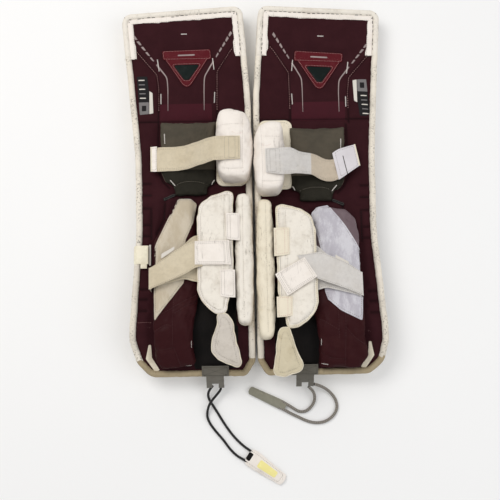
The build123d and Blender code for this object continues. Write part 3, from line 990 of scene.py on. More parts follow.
def toe_tie(pad, route, diameter, material, slot):
    """A woven tube along the tie's route, its strands standing slightly proud."""
    line = spline_line(route, diameter)

    def strands(along, angle):
        turn = 2 * np.pi * along / (diameter / MM)
        return 1 + 0.05 * np.sin(4 * angle + turn) * np.sin(4 * angle - turn)

    shape = Shape().add(pipe(line, diameter / MM / 2, sides=16, profile=strands), material)
    tie = shape.emit(f"{pad.name}_toe_cord_braid", body=f"{pad.name}_boot", slot=slot, flat=False)
    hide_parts(f"{pad.name}_toe_cord")
    grip = cord_grip(pad)


GRIP = {  # near end, far end, widths, all millimetres in the row frame
    "left": ((-22, -579), (55, -634), 38, 26),
    "right": ((62, -476.5), (-17, -438), 21, 18),
}
GRIP_TOP = 11.3
GRIP_SIDE = 6.0          # height taken where a plan point lies beside the grip


def cord_grip(pad):
    """The folded leather pull at the end of a tie: two skins sewn together round its edge."""
    near, far, near_width, far_width = GRIP[pad.name]
    near, far = np.array(near, float), np.array(far, float)
    along = far - near
    length = np.linalg.norm(along)
    along /= length
    side = np.array([-along[1], along[0]])
    left = pad.name == "left"
    outer = LEATHER_CLEAN if left else OLIVE
    stations, across = 40, 17
    shape = Shape()
    rows = []
    for t in np.linspace(0, 1, stations):
        width = near_width + (far_width - near_width) * smooth(t * 1.1 - 0.1)
        ends = min(1.0, math.sqrt(max(0.0, 1 - ((t - 0.93) / 0.07) ** 2)) if t > 0.93 else 1.0)
        width = max(2.0, width * (0.45 + 0.55 * ends) * (1 - 0.22 * math.exp(-((t / 0.06) ** 2))))
        row = []
        for v in np.linspace(-1, 1, across):
            belly = (1 - abs(v) ** 2.6) * (0.45 + 0.55 * math.sin(math.pi * min(1, t * 1.15 + 0.1)))
            place = near + along * t * length + side * v * width / 2
            lift = 5.4 + belly * (GRIP_TOP - 6.2) + 0.3 * waves(place[0], place[1], 14, 5)
            row.append((*place, lift))
        rows.append(row)
    top = np.array(rows)
    low = top.copy()
    low[..., 2] = np.maximum(0.3, 5.0 - (top[..., 2] - 5.4) * 0.9)
    points = np.vstack([top.reshape(-1, 3), low.reshape(-1, 3)])
    n = stations * across
    faces = turned_over(grid_faces(stations, across))
    rim = rim_of(stations, across)
    wall = [[a, b, b + n, a + n] for a, b in zip(rim, rim[1:] + rim[:1])]
    lengths = points[:, :2] @ np.stack([along, side], 1)
    shape.add((points, faces + under_faces(faces, n) + wall, lengths), outer)
    surface = Surface((points, faces))

    def on_grip(x, y):
        return heights(surface, x, y, GRIP_SIDE)

    edge = [
        near + along * length * t + side * s * (near_width + (far_width - near_width) * t) * 0.36
        for t, s in ((0.06, 1), (0.9, 1), (0.9, -1), (0.06, -1))
    ]
    shape.add(stitches(surface.line(edge, 0.15, 3, True), 2.6, 1.4, 0.35, True), THREAD_GREY)
    if left:
        panel = [
            near + along * length * t + side * s * w
            for t, s, w in ((0.30, 1, 9), (0.78, 1, 7), (0.78, -1, 7), (0.30, -1, 9))
        ]
        shape.add(patch(panel, on_grip, 0.7, 2.0, 3.0), YELLOW)
        cuff = [near + along * t + side * s * 9 for t, s in ((-1, 1), (9, 1), (9, -1), (-1, -1))]
        shape.add(patch(cuff, on_grip, 0.6, 2.0, 2.0), BLACK)
    grip = shape.emit(f"{pad.name}_pull", body=f"{pad.name}_boot",
                      slot="white_leather" if left else "strap_webbing", flat=False)
    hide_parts(f"{pad.name}_cord_grip")
    return grip


def heights(surface, x, y, otherwise):
    """Height of a surface below plan points, or otherwise where there is none."""
    found = []
    for a, b in zip(np.ravel(x), np.ravel(y)):
        hit = surface.tree.ray_cast(Vector((a, b, 400)), Vector((0, 0, -1)))
        found.append(hit[0].z if hit[0] is not None else otherwise)
    return np.array(found).reshape(np.shape(x))


toe_tie(LEFT, LEFT_TIE, BUNGEE_D, BUNGEE, "black_bungee")
toe_tie(RIGHT, RIGHT_TIE, LACE_D, BRAID, "grey_braid")


# ---- tray: front face, walls and rolled binding -------------------------------------------------
WALL_PROFILE = [  # inset from the plan's edge, height
    (14, 0), (5, 0.4), (1.2, 2.2), (0, 6), (-0.9, 14), (-1.3, 24), (-0.9, 34), (0.2, 42), (1.6, 45),
]
ROLL_PROFILE = [
    (0.4, 46.2), (-0.4, 48.6), (0.5, 51.2), (2.6, 53.2), (5.8, 54.2), (9.2, 53.6),
    (11.7, 51.6), (13, 48.8), (13.2, 46.2), (13, 43.2),
]


def cut_rows():
    """Where the tray's flat faces are divided, so that they can follow the folds."""
    steps = np.linspace(-FOLD_REACH, FOLD_REACH, 11)
    return [fold + step for fold in (KNEE_Y, BOOT_Y) for step in steps]


def tray(pad):
    """The leather tray and its binding, in an upper and a lower half."""
    line = resampled(rounded(pad.corners(), pad.radii(), 12), 5.0, closed=True)
    normal = inward(line)
    x, y = line.T
    wobble = waves(x, y, 45, pad.seed) * 0.5 + waves(x, y, 15, pad.seed + 1) * 0.25
    wear = waves(x, y, 9, pad.seed + 2) * 0.25
    n = len(line)
    rings = []
    profile = WALL_PROFILE + ROLL_PROFILE
    for i, (d, z) in enumerate(profile):
        rolled = len(WALL_PROFILE) <= i < len(profile) - 1
        depth = d + (wobble * 0.6 + wear if rolled else 0)
        height = z + ((wobble + wear) if rolled and z > 49 else 0)
        depth, height = (np.broadcast_to(value, n) for value in (depth, height))
        rings.append(np.column_stack([line + normal * depth[:, None], height]))
    points = np.vstack(rings)
    faces = grid_faces(len(rings), n, close_columns=True)
    caps = end_faces(len(rings), n)
    if signed_area(line) < 0:
        faces, caps = turned_over(faces), turned_over(caps)
    halves = []
    for upper in (True, False):
        bm = bmesh.new()
        made = [bm.verts.new(p) for p in points]
        for face in faces + caps:
            bm.faces.new([made[i] for i in face])
        for row in cut_rows():
            geom = bm.verts[:] + bm.edges[:] + bm.faces[:]
            bmesh.ops.bisect_plane(bm, geom=geom, plane_co=(0, row, 0), plane_no=(0, 1, 0), dist=0.01)
        geom = bm.verts[:] + bm.edges[:] + bm.faces[:]
        cut = bmesh.ops.bisect_plane(
            bm, geom=geom, plane_co=(0, SPLIT_Y, 0), plane_no=(0, 1, 0), dist=0.01,
            clear_inner=upper, clear_outer=not upper)
        rim = [e for e in cut["geom_cut"] if isinstance(e, bmesh.types.BMEdge)]
        bmesh.ops.holes_fill(bm, edges=rim, sides=0)
        bm.verts.index_update()
        co = np.array([v.co for v in bm.verts])
        polygons = [[v.index for v in f.verts] for f in bm.faces]
        looks = []
        for f in bm.faces:
            c = f.calc_center_median()
            bound_here = c.z > 45.6 and c.y < CAP_END_Y
            looks.append(LEATHER if not bound_here else BINDING if c.y > TAN_Y else TAN)
        bm.free()
        part = "upper" if upper else "lower"
        shape = Shape().add((co, polygons), looks)
        obj = shape.emit(f"{pad.name}_tray_{part}", pad, slot="white_leather")
        halves.append(obj)
    return halves


def across_fold(obj, pad, joint, nodes):
    """Bakes the placement of a long piece, already bent by bent() between the shin and the section beyond
    one fold, and hides the frame parts that it replaces.
    """
    fold = KNEE_Y if joint == "thigh" else BOOT_Y
    way = 1 if joint == "thigh" else -1
    start = bent([(0, fold - way * FOLD_REACH, BACK_Z)], pad)[0]
    end = bent([(0, fold + way * FOLD_REACH, BACK_Z)], pad)[0]
    start[0] = end[0] = 0
    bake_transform(obj)
    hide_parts(*[f"{pad.name}_{node}" for node in nodes])


# ---- liner -----------------------------------------------------------------------------------
LINER_INSET = 10.0
LINER_TOP = 46.2         # underside of what is sewn down on the liner
LINER_LOW = 43.0
PUFF = 3.6
PUFF_REACH = 11.0
FOLD_PLEATS = (17, -10, -40, -78, -103, -222, -244, -269)
THIGH_SEAMS = [
    [(-278, 333), (-263, 333), (-215, 275), (-211, 239), (-211, 168)],
    [(-36, 345), (-45, 334), (-78, 282), (-79, 201), (-79, 168)],
]
SHIN_SEAM = [(-211, 168), (-212, 110), (-211, 46), (-200, 20), (-186, 6)]
BADGE_BAR = [(-203, 331), (-93, 334), (-91, 310), (-201, 310)]
BADGE_PANEL = [(-201, 318), (-94, 319), (-138, 249), (-147, 244), (-156, 249)]
BADGE_Z = 47.0           # the badge's underside
BADGE_WINDOW = [(-178, 297), (-117, 298), (-142, 261), (-153, 261)]
# painted shade: black liner in the deep recess between the maroon boot pad and the riser, under the wing
# and tail
BLACK_SHADE_FIELD = [(-140, -215), (-134, -398), (-40, -398), (-40, -215)]

# Plans of the stuffed pieces.
CRADLE_PLAN = [
    (-210, 161), (-80, 161), (-80, 14), (-98, 4), (-101, -18), (-172, -18), (-182, 8), (-200, 18),
    (-209, 44),
]
BLOCK_PLAN = [
    (-79, 158), (-68, 167), (-38, 167), (-14, 158), (-3, 136), (-2, 68), (-5, 18), (-19, 6),
    (-66, 8), (-79, 28),
]
MAROON_PLAN = {
    "left": [
        (-222, -118), (-168, -21), (-130, -21), (-123, -70), (-114, -240), (-120, -262),
        (-130, -318), (-130, -390), (-206, -398), (-220, -376), (-223, -330),
    ],
    "right": [
        (-230, -104), (-222, -72), (-200, -52), (-166, -43), (-130, -46), (-123, -96), (-113, -262),
        (-121, -292), (-130, -340), (-131, -401), (-222, -401), (-244, -372), (-238, -340),
        (-235, -292),
    ],
}
WING_PLAN = [
    (-40, -14), (-56, -11), (-97, -21), (-121, -41), (-128, -70), (-128, -236), (-121, -258),
    (-106, -275), (-84, -290), (-60, -290), (-42, -214),
]
RISER_PLAN = [(-41, -8), (-5, -8), (-5, -296), (-41, -296)]
RISER_ENDS = {"left": (-309, -17), "right": (-341, -31)}


def base_plan(pad):
    """Plan of the flange that the knee stack stands on."""
    outer = -87 if pad.mirrored else -80
    return lowered([(outer, 168), (-15, 168), (-15, 9), (outer, 9)], pad.base_drop)


def on_thigh(points, pad):
    """Plan points of the left pad's thigh rise, where this pad has them."""
    across, up, shear = pad.thigh_move
    return np.array([(x + across, y + up + shear * (x + 150)) for x, y in points], float)


def strip_seams(pad):
    """Pleats of the narrow strip along the outer edge, and the seams beside them."""
    drop = pad.calf_drop / 2
    seams = []
    for y in FOLD_PLEATS:
        edge = pad.outer_x(y - drop) + LIP_W + 2
        seams.append([(edge, y - drop), (edge + 18, y - drop)])
    edge = pad.outer_x(-75) + LIP_W
    seams.append([(edge + 19, -42 - drop), (edge + 20, -110 - drop)])
    seams.append([(-196, -30 - drop), (-198, -66 - drop), (-214, -100 - drop)])
    return seams


def toe_corner(pad):
    """Plan of the white leather let in at the outer toe corner."""
    out = pad.outer_x(-350) - LEFT.outer_x(-350)
    plan = [(-231, -343), (-226, -344), (-225, -372), (-209, -400), (-219, -404), (-238, -374)]
    return np.array([(x + out, y) for x, y in plan], float)


def covers(pad):
    """Plans of what is sewn down on the liner; it lies flat under them."""
    return [
        lowered(CRADLE_PLAN, pad.cradle_drop),
        base_plan(pad),
        lowered([(-40, -20), (-8, -20), (-8, -306), (-40, -306)], pad.wing_drop / 2),
        np.array(MAROON_PLAN[pad.name], float),
        on_thigh(BADGE_BAR, pad),
        on_thigh(BADGE_PANEL, pad),
    ]


def lowered(points, drop):
    """Plan points moved towards the toe."""
    return np.array([(x, y - drop) for x, y in points], float)


def liner_seams(pad):
    """Every line that is sewn through the liner."""
    lines = [on_thigh(seam, pad) for seam in THIGH_SEAMS]
    lines.append(lowered(SHIN_SEAM, pad.cradle_drop))
    return lines + strip_seams(pad) + [[(-290, 163), (-10, 163)]]


def liner_height(pad):
    """How high a pad's liner stands at plan points."""
    seams = liner_seams(pad)
    plans = covers(pad)
    rims = [joined(plan) for plan in plans + [mitred(pad.corners(), LINER_INSET)]]

    def height(x, y):
        x, y = np.asarray(x, float), np.asarray(y, float)
        near = distance_to(x, y, seams + rims)
        sewn = distance_to(x, y, seams)
        rise = PUFF * (1 - np.exp(-((near / PUFF_REACH) ** 2)))
        rise = rise + 0.55 * waves(x, y, 70, pad.seed) + 0.22 * waves(x, y, 22, pad.seed + 4)
        rise = rise * (1 - np.exp(-((near / 5) ** 2)))
        rise = rise - 1.5 * np.exp(-((sewn / 2.2) ** 2))
        tuck = np.exp(-(((x + 154) / 30) ** 2 + ((y - 371) / 8) ** 2))
        rise = rise - 1.2 * tuck
        for plan in plans:
            rise = np.where(inside(x, y, plan), -0.5, rise)
        return BACK_Z + rise

    return height


def liner_rows(pad, low, high):
    """Left and right ends of the liner's rows between two heights of the plan."""
    count = int((high - low) / 3.1)
    edge = mitred(pad.corners(), LINER_INSET)
    left = np.vstack([edge[5:], edge[:1]])
    right = np.array([edge[4], edge[3], edge[2], edge[1]])
    ys = np.linspace(low, high, count)
    return ys, np.interp(ys, left[:, 1], left[:, 0]), np.interp(ys, right[:, 1], right[:, 0])


def liner(pad, part, height):
    """One half of the nylon over the foam, quilted and slightly puckered."""
    edge = mitred(pad.corners(), LINER_INSET)
    top_left, top_right = edge[0], edge[1]
    if part == "upper":
        ys, left, right = liner_rows(pad, SPLIT_Y, top_left[1])
    else:
        ys, left, right = liner_rows(pad, TOE_Y + LINER_INSET, SPLIT_Y)
    columns = 88
    t = np.linspace(0, 1, columns)
    x = left[:, None] + (right - left)[:, None] * t
    y = np.repeat(ys[:, None], columns, 1)
    if part == "upper":
        slope = (top_right[1] - top_left[1]) / (top_right[0] - top_left[0])
        lift = np.clip((y - 250) / (top_left[1] - 250), 0, 1)
        y = y + lift * slope * (x - top_left[0])
    z = height(x, y)
    top = np.stack([x, y, z], 2)
    rows = len(ys)
    points = np.vstack([top.reshape(-1, 3), [(left[i], y[i, 0], LINER_LOW) for i in range(rows)],
                        [(right[i], y[i, -1], LINER_LOW) for i in range(rows)]])
    n = rows * columns
    faces = [f[::-1] for f in grid_faces(rows, columns)]
    low_left = [n + i for i in range(rows)]
    low_right = [n + rows + i for i in range(rows)]
    for i in range(rows - 1):
        faces.append([i * columns, low_left[i], low_left[i + 1], (i + 1) * columns][::-1])
        faces.append([i * columns + columns - 1, low_right[i], low_right[i + 1],
                      (i + 1) * columns + columns - 1])
        faces.append([low_left[i], low_right[i], low_right[i + 1], low_left[i + 1]][::-1])
    faces.append([j for j in range(columns)] + [low_right[0], low_left[0]])
    last = (rows - 1) * columns
    faces.append([last + j for j in range(columns - 1, -1, -1)] + [low_left[-1], low_right[-1]])
    # painted shade in the seams' creases: closeness to the nearest seam goes in the along attribute,
    # which darkens the nylon
    near = distance_to(points[:, 0], points[:, 1], liner_seams(pad))
    dirt_and_shade = np.column_stack([np.exp(-((near / 2.4) ** 2)), near])
    looks = []
    for f in faces:
        x, y, _ = points[f].mean(0)
        red = abs(x + 150) < 60 and 160 < y < 205
        look = NYLON_RED if red else NYLON
        # painted shade: the liner in the recess beside the boot pad is made black
        if inside(x, y, BLACK_SHADE_FIELD):
            look = BLACK
        looks.append(look)
    shape = Shape().add((points, faces, dirt_and_shade), looks)
    obj = shape.emit(f"{pad.name}_liner_{part}", pad, slot="maroon_nylon")
    return obj


def level(z):
    """A height function that is z everywhere."""

    def height(x, y):
        return np.full(np.shape(x), z)

    return height


def on_liner(line, height, lift=0.1, step=3.0):
    """A plan line laid on the liner."""
    flat = resampled(line, step)
    return np.column_stack([flat, height(flat[:, 0], flat[:, 1]) + lift])


def build_ground(pad):
    """Tray and liner, each in two halves that bend at one fold."""
    height = liner_height(pad)
    upper, lower = tray(pad)
    nodes = [f"{s}_{n}" for s in ("thigh", "shin") for n in ("core", "skin")]
    across_fold(upper, pad, "thigh", nodes)
    across_fold(lower, pad, "boot", ["boot_core", "boot_skin"])
    across_fold(liner(pad, "upper", height), pad, "thigh", ["thigh_liner", "shin_liner"])
    across_fold(liner(pad, "lower", height), pad, "boot", ["boot_liner"])
    return height


GROUND = {pad.name: build_ground(pad) for pad in (LEFT, RIGHT)}


# ---- stuffed forms, blown up once --------------------------------------------------------------
def plan_inset(corners, inset):
    """A plan's corners drawn in by inset, whichever way round they run."""
    corners = np.array(corners, float)
    return mitred(corners, -inset if signed_area(corners) > 0 else inset)


# The ankle tail is made lying level at height 0 and set down with a tilt.
TAIL_PLAN = {
    "left": [
        (-84, 8), (-60, 8), (-46, -10), (-29, -98), (-33, -110), (-42, -112), (-83, -93), (-98, -76),
        (-97, -50), (-87, -19),
    ],
    "right": [
        (-72, 8), (-48, 8), (-41, -17), (-33, -86), (-35, -98), (-58, -101), (-97, -88), (-101, -74),
        (-83, -24),
    ],
}
TAIL_START = (-290.0, 91.0)
TAIL_TILT = math.radians(8.0)
BOOT_TOP = 73.0


def channel_top(x, y):
    """Top of the maroon leather: sloped inwards beside the calf, level beside the boot."""
    slope = 62.5 + (np.asarray(x) + 112) / -110 * 17.0
    level = smooth((-284 - np.asarray(y)) / 50)
    return slope * (1 - level) + BOOT_TOP * level


# Each form's pillow is a plan, its bottom and top, its edge's softness, corner radius and step;
# swell takes the voxel and the furthest that a point moves.
FORMS = {
    "cradle": swell(pillow(plan_inset(CRADLE_PLAN, 1), LINER_TOP, 57, 3, 1.5, 4), 3.5, 3.0),
    "block": swell(pillow(plan_inset(BLOCK_PLAN, 2.0), 52, 121, 10, 12, 6), 5.5, 5),
    "wing": swell(pillow(plan_inset(WING_PLAN, 2.0), 80, 91, 4.5, 6, 5), 5, 3.2),
    "riser": swell(pillow(plan_inset(RISER_PLAN, 2.5), 47, 92, 9, 12, 6), 5, 4),
}
for side in ("left", "right"):
    maroon = pillow(plan_inset(MAROON_PLAN[side], 2.0), LINER_TOP, 80, 6, 6, 6, channel_top)
    FORMS[f"maroon_{side}"] = swell(maroon, 5.5, 3.5)
    FORMS[f"tail_{side}"] = swell(pillow(plan_inset(TAIL_PLAN[side], 2.0), -12, -2, 4, 6, 4), 4, 3)


def moved(made, drop=0.0, width=1.0, about=0.0):
    """A stuffed form lowered towards the toe and narrowed about an upright."""
    points = made[0].copy()
    points[:, 0] = about + (points[:, 0] - about) * width
    points[:, 1] -= drop
    return points, made[1]


def moved_line(points, drop, width, about):
    """Plan points moved as moved() does."""
    return np.array([(about + (x - about) * width, y - drop) for x, y in points], float)


def stuffed(pad, name, shape, section, body, slot, nodes):
    """Places a padded piece on its body."""
    obj = shape.emit(f"{pad.name}_{name}", pad, section, f"{pad.name}_{body}", slot)
    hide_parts(*[f"{pad.name}_{node}" for node in nodes])
    return obj


def sheet(pad, name, shape, section, body, slot, nodes):
    """Places a sheet of cloth or strap on its body."""
    obj = shape.emit(f"{pad.name}_{name}", pad, section, f"{pad.name}_{body}", slot)
    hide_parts(*[f"{pad.name}_{node}" for node in nodes])
    return obj


TUCK_ACROSS = 0.09       # a wrinkle's spread across, as a share of the strap's width


class Ribbon:
    """A flat strap between two edges given by a few points each."""

    def __init__(self, edge_a, edge_b, thickness, step=3.5, ripple=0.0, seed=1, rows=13, tucks=()):
        a = resampled(eased(resampled(edge_a, 4.0), 5), step)
        t = np.linspace(0, 1, len(a))
        b = eased(resampled(edge_b, 4.0), 5)
        lengths = lengths_along(b)
        b = np.stack([np.interp(t * lengths[-1], lengths, b[:, i]) for i in range(3)], 1)
        v = np.linspace(0, 1, rows)[None, :, None]
        self.top = a[:, None] * (1 - v) + b[:, None] * v
        x, y = self.top[..., 0], self.top[..., 1]
        lift = ripple * (waves(x, y, 34, seed) + 0.5 * waves(x, y, 13, seed + 1))
        for place_u, place_v, deep, wide in tucks:
            du = (t[:, None] - place_u) / wide
            dv = (np.linspace(0, 1, rows)[None] - place_v) / TUCK_ACROSS
            lift = lift - deep * np.exp(-(du ** 2) - dv ** 2)
        self.top[..., 2] += lift
        self.made = thick_sheet(self.top, thickness)

    def at(self, u, v, lift=0.15):
        """The point at shares u along and v across."""
        rows, columns = self.top.shape[:2]
        i, j = u * (rows - 1), v * (columns - 1)
        i0, j0 = min(int(i), rows - 2), min(int(j), columns - 2)
        fi, fj = i - i0, j - j0
        p = self.top
        near = p[i0, j0] * (1 - fj) + p[i0, j0 + 1] * fj
        far = p[i0 + 1, j0] * (1 - fj) + p[i0 + 1, j0 + 1] * fj
        return near * (1 - fi) + far * fi + (0, 0, lift)

    def line(self, shares, lift=0.15, closed=False):
        """A line through shares, following the strap."""
        flat = resampled(shares, 0.02, closed)
        return np.array([self.at(u, v, lift) for u, v in flat])


def box_stitch(u0, u1, v0, v1, cross=False):
    """Shares of a stitched box, with a cross in it if asked."""
    box = [(u0, v0), (u1, v0), (u1, v1), (u0, v1), (u0, v0)]
    return box + [(u1, v1), (u1, v0), (u0, v1)] if cross else box


# ---- on the thigh rise -------------------------------------------------------------------------------
CAP_CORNERS = [(-288.5, 311), (-297, 420), (-19, 438), (-10.5, 318)]
CAP_STRIP = [  # inset from the pad's edge, height
    (12.0, 47.0), (13.2, 49.8), (18.0, 50.6), (24.0, 49.8), (27.4, 47.4), (27.2, 45.2), (12.0, 45.2),
]
CAP_MITRE = [(7, 54.2), (10, 53.4), (13.5, 50.4), (21, 50.0)]
CAP_CUFF = [(0.2, 47), (-0.2, 50), (2, 53.4), (6, 54.6), (10, 53.6), (13.4, 50.2), (22.4, 49.4)]


def corner_caps(pad):
    """Inner strips of the thigh's leather corner caps, mitred, with a rough dark seam."""
    shape = Shape()
    corners = [np.array(corner, float) for corner in CAP_CORNERS]
    last = len(corners) - 2
    for k, (a, b) in enumerate(zip(corners[:-1], corners[1:])):
        length = np.linalg.norm(b - a)
        along = (b - a) / length
        side = np.array([along[1], -along[0]])
        stations = resampled([a, b], 4.0)
        share = np.linspace(0, 1, len(stations))
        rows = []
        for d, z in CAP_STRIP:
            start, end = d * (k > 0), d * (k < last)
            t = start + share * (length - start - end)
            lift = 0.35 * waves(t, t * 0 + k * 50, 30, pad.seed + k)
            lift = lift + 0.2 * waves(t, t * 0 + k, 11, pad.seed)
            rows.append(np.column_stack([a + along * t[:, None] + side * d, z + lift * (z > BACK_Z)]))
        ring = np.array(rows).transpose(1, 0, 2)
        faces = grid_faces(len(stations), len(CAP_STRIP), close_columns=True)
        faces += end_faces(len(stations), len(CAP_STRIP))
        shape.add((ring.reshape(-1, 3), turned_over(faces)), LEATHER_CLEAN)

        def beside(inset, from_start, from_end, step):
            start = a + along * from_start * (k > 0) + side * inset
            end = b - along * from_end * (k < last) + side * inset
            return resampled([start, end], step)

        draw = np.random.default_rng(pad.seed + k)
        seam = beside(12.7, 13, 13, 11)
        seam = seam + side * draw.normal(0, 0.5, len(seam))[:, None]
        seam = np.column_stack([seam, np.full(len(seam), 50.4)])
        shape.add(stitches(seam, 8.5, 2.5, 0.75, jitter=0.6, seed=pad.seed), THREAD_BLACK)
        hem = beside(24.6, 20, 24, 5)
        hem = np.column_stack([hem, np.full(len(hem), 49.9)])
        shape.add(stitches(hem, 3, 2, 0.35), THREAD_GREY)
    for corner, inner in zip(corners[1:3], ((1, -1), (-1, -1))):
        mitre = np.array([[*(corner + np.array(inner) * d), z] for d, z in CAP_MITRE])
        shape.add(stitches(mitre, 5, 1.0, 0.7, jitter=0.2), THREAD_BLACK)
    for (x, y), side in ((corners[0], 1), (corners[-1], -1)):
        cuff = [(x + side * d, y + 1, z) for d, z in CAP_CUFF]
        shape.add(pipe(eased(cuff, 2), 0.9, sides=6), LEATHER_CLEAN)
    shape.emit(f"{pad.name}_cap_strips", pad, "thigh", f"{pad.name}_thigh", "white_leather")


DASHES = 5               # in each printed row beside the badge
DASH_SHARE = 0.52        # of the row's pitch that a dash takes
DASH_ROWS = (((-268, 367), (-219, 302)), ((-45, 373), (-83, 310)))
STRIPES = (
    [(-216, 299), (-192, 267), (-190, 240), (-190, 188)],
    [(-86, 305), (-107, 268), (-108, 240), (-108, 188)],
)
BAR_TACKS = (
    ((-214, 311), (-210, 283)), ((-88, 313), (-85, 285)), ((-206, 229), (-206, 205)),
    ((-84, 232), (-85, 206)), ((-160, 371), (-146, 371)),
)


def marks(pad, height):
    """Printed stripes, seams' threads, bar-tacks and two pink lines of painted highlight on the liner, by
    section.
    """
    upper, shin, lower = Shape(), Shape(), Shape()
    for line in DASH_ROWS:
        a, b = on_thigh(line, pad)
        length = np.linalg.norm(b - a)
        along = (b - a) / length
        side = np.array([-along[1], along[0]])
        for i in range(DASHES):
            start = a + along * length * i / DASHES
            end = a + along * length * (i + DASH_SHARE) / DASHES
            w = 3.0 - 0.3 * i
            plan = [start + side * w, end + side * w * 0.8 + along * 3, end - side * w * 0.8,
                    start - side * w - along * 3]
            upper.add(patch(plan, height, 0.35, 3.0), STRIPE)
    for line in STRIPES:
        flat = resampled(eased(resampled(on_thigh(line, pad), 4.0), 3), 4.0)
        taper = np.linspace(1.7, 0.5, len(flat))
        side = np.gradient(flat, axis=0)
        side = np.stack([-side[:, 1], side[:, 0]], 1) / np.linalg.norm(side, axis=1)[:, None]
        rows = [flat + side * (w * taper)[:, None] for w in (-1, 0, 1)]
        grid = np.stack([np.column_stack([row, height(*row.T) + 0.35]) for row in rows], 1)
        upper.add(thick_sheet(grid, 0.5), STRIPE)
    for tack in BAR_TACKS:
        line = on_liner(on_thigh(tack, pad), height, 0.6, 1.0)
        upper.add(stitches(line, 2.4, 0.1, 1.25), THREAD_WHITE)
    for seam in THIGH_SEAMS:
        line = [p for p in resampled(on_thigh(seam, pad), 3.0) if p[1] > KNEE_Y + 2]
        upper.add(stitches(on_liner(line, height, 0.35), 2.8, 2.6, 0.75), THREAD_PINK)
    for seam in strip_seams(pad):
        shin.add(stitches(on_liner(seam, height, 0.15), 3.0, 1.8, 0.4), THREAD_DARK)
    # painted highlight: two pink stitch lines across the outer strip near the boot stand in for the light
    # caught by its folds
    out = pad.outer_x(-300) - LEFT.outer_x(-300)
    low = pad.calf_drop * 0.9
    fold = [(-255 + out, -295 - low), (-224 + out, -295 - low)]
    second = [(-255 + out, -305 - low * 0.7), (-226 + out, -306 - low * 0.7)]
    for line in (fold, second):
        part = shin if line[0][1] > BOOT_Y + 2 else lower
        part.add(stitches(on_liner(line, height, 0.2), 2.6, 1.8, 0.45), THREAD_PINK)
    lower.add(patch(toe_corner(pad), height, 1.2, 2.5, 1.0), LEATHER_CREAM)
    for shape, section in ((upper, "thigh"), (shin, "shin"), (lower, "boot")):
        if shape.count:
            shape.emit(f"{pad.name}_{section}_stitching", pad, section, f"{pad.name}_{section}")


def badge(pad, height):
    """Glossy sewn badge: a bar over a tapered panel with a dark window. It carries no mark."""
    flat = level(BADGE_Z)
    shape = Shape()
    bar, panel, window = (on_thigh(plan, pad) for plan in (BADGE_BAR, BADGE_PANEL, BADGE_WINDOW))
    shape.add(patch(panel, flat, 1.3, 3.0, 5.0), GLOSS)
    shape.add(patch(bar, flat, 1.9, 3.0, 3.0), GLOSS)
    shape.add(patch(window, flat, 1.9, 2.5, 3.0), WINDOW)
    rule = on_thigh([(-168, 321.5), (-128, 322.5), (-128, 319), (-168, 318)], pad)
    shape.add(patch(rule, flat, 2.4, 2.0, 1.5), STRIPE)
    edges = ((bar, 1.6, 49.1, 3), (panel, 1.6, 48.5, 5), (window, -2.0, 49.1, 3))
    for plan, inset, lift, radius in edges:
        line = resampled(rounded(plan_inset(plan, inset), radius), 3.2, True)
        ring = np.column_stack([line, np.full(len(line), lift)])
        shape.add(stitches(ring, 1.9, 1.7, 0.5, True), THREAD_PINK)
    obj = shape.emit(f"{pad.name}_badge", pad, "thigh", f"{pad.name}_thigh", "maroon_gloss")
    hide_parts(f"{pad.name}_name_patch")


LABEL_MIDDLE = 225.0     # the label turns about this height on the right pad
LABEL_RULES = 5


def label(pad, height):
    """Woven label with blank rules, and a small white one beside it; upside down on the right pad."""

    def flat(x, y):
        return height(x, y) + 0.1

    def sewn(plan, thickness, step, look):
        if pad.mirrored:
            plan = [(x, 2 * LABEL_MIDDLE - y) for x, y in reversed(plan)]
        shape.add(patch(on_thigh(plan, pad), flat, thickness, step), look)

    shape = Shape()
    dark = [(-261, 270), (-237, 270), (-233, 234), (-233, 209), (-256, 209)]
    grey = [(-256, 209), (-233, 209), (-233, 181), (-254, 180)]
    white = [(-232, 235), (-225, 231), (-223, 183), (-232, 181)]
    for plan, look in ((dark, LABEL), (grey, LABEL_GREY), (white, LABEL_WHITE)):
        sewn(plan, 0.9, 3.0, look)
    for k in range(LABEL_RULES):
        y = 262 - k * 10.5
        left = -257 + k * 0.8
        rule = [(left, y), (left + 14, y), (left + 14, y - 2.4), (left, y - 2.4)]
        look = LABEL_GREY if k % 2 else LABEL_WHITE
        sewn(rule, 1.25, 2.0, look)
    square = [(-249, 201), (-239, 201), (-239, 188), (-249, 188)]
    sewn(square, 1.25, 2.0, LABEL)
    obj = shape.emit(f"{pad.name}_label", pad, "thigh", f"{pad.name}_thigh", "label_cloth")
    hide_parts(f"{pad.name}_size_label")


# ---- knee ----------------------------------------------------------------------------------------------
TONGUE_ARC = [(-180, -3), (-167, 13), (-148, 17), (-129, 17), (-112, 14), (-98, 7)]
BLOCK_EDGE = -5.0        # the knee stack's inner edge, about which its width differs


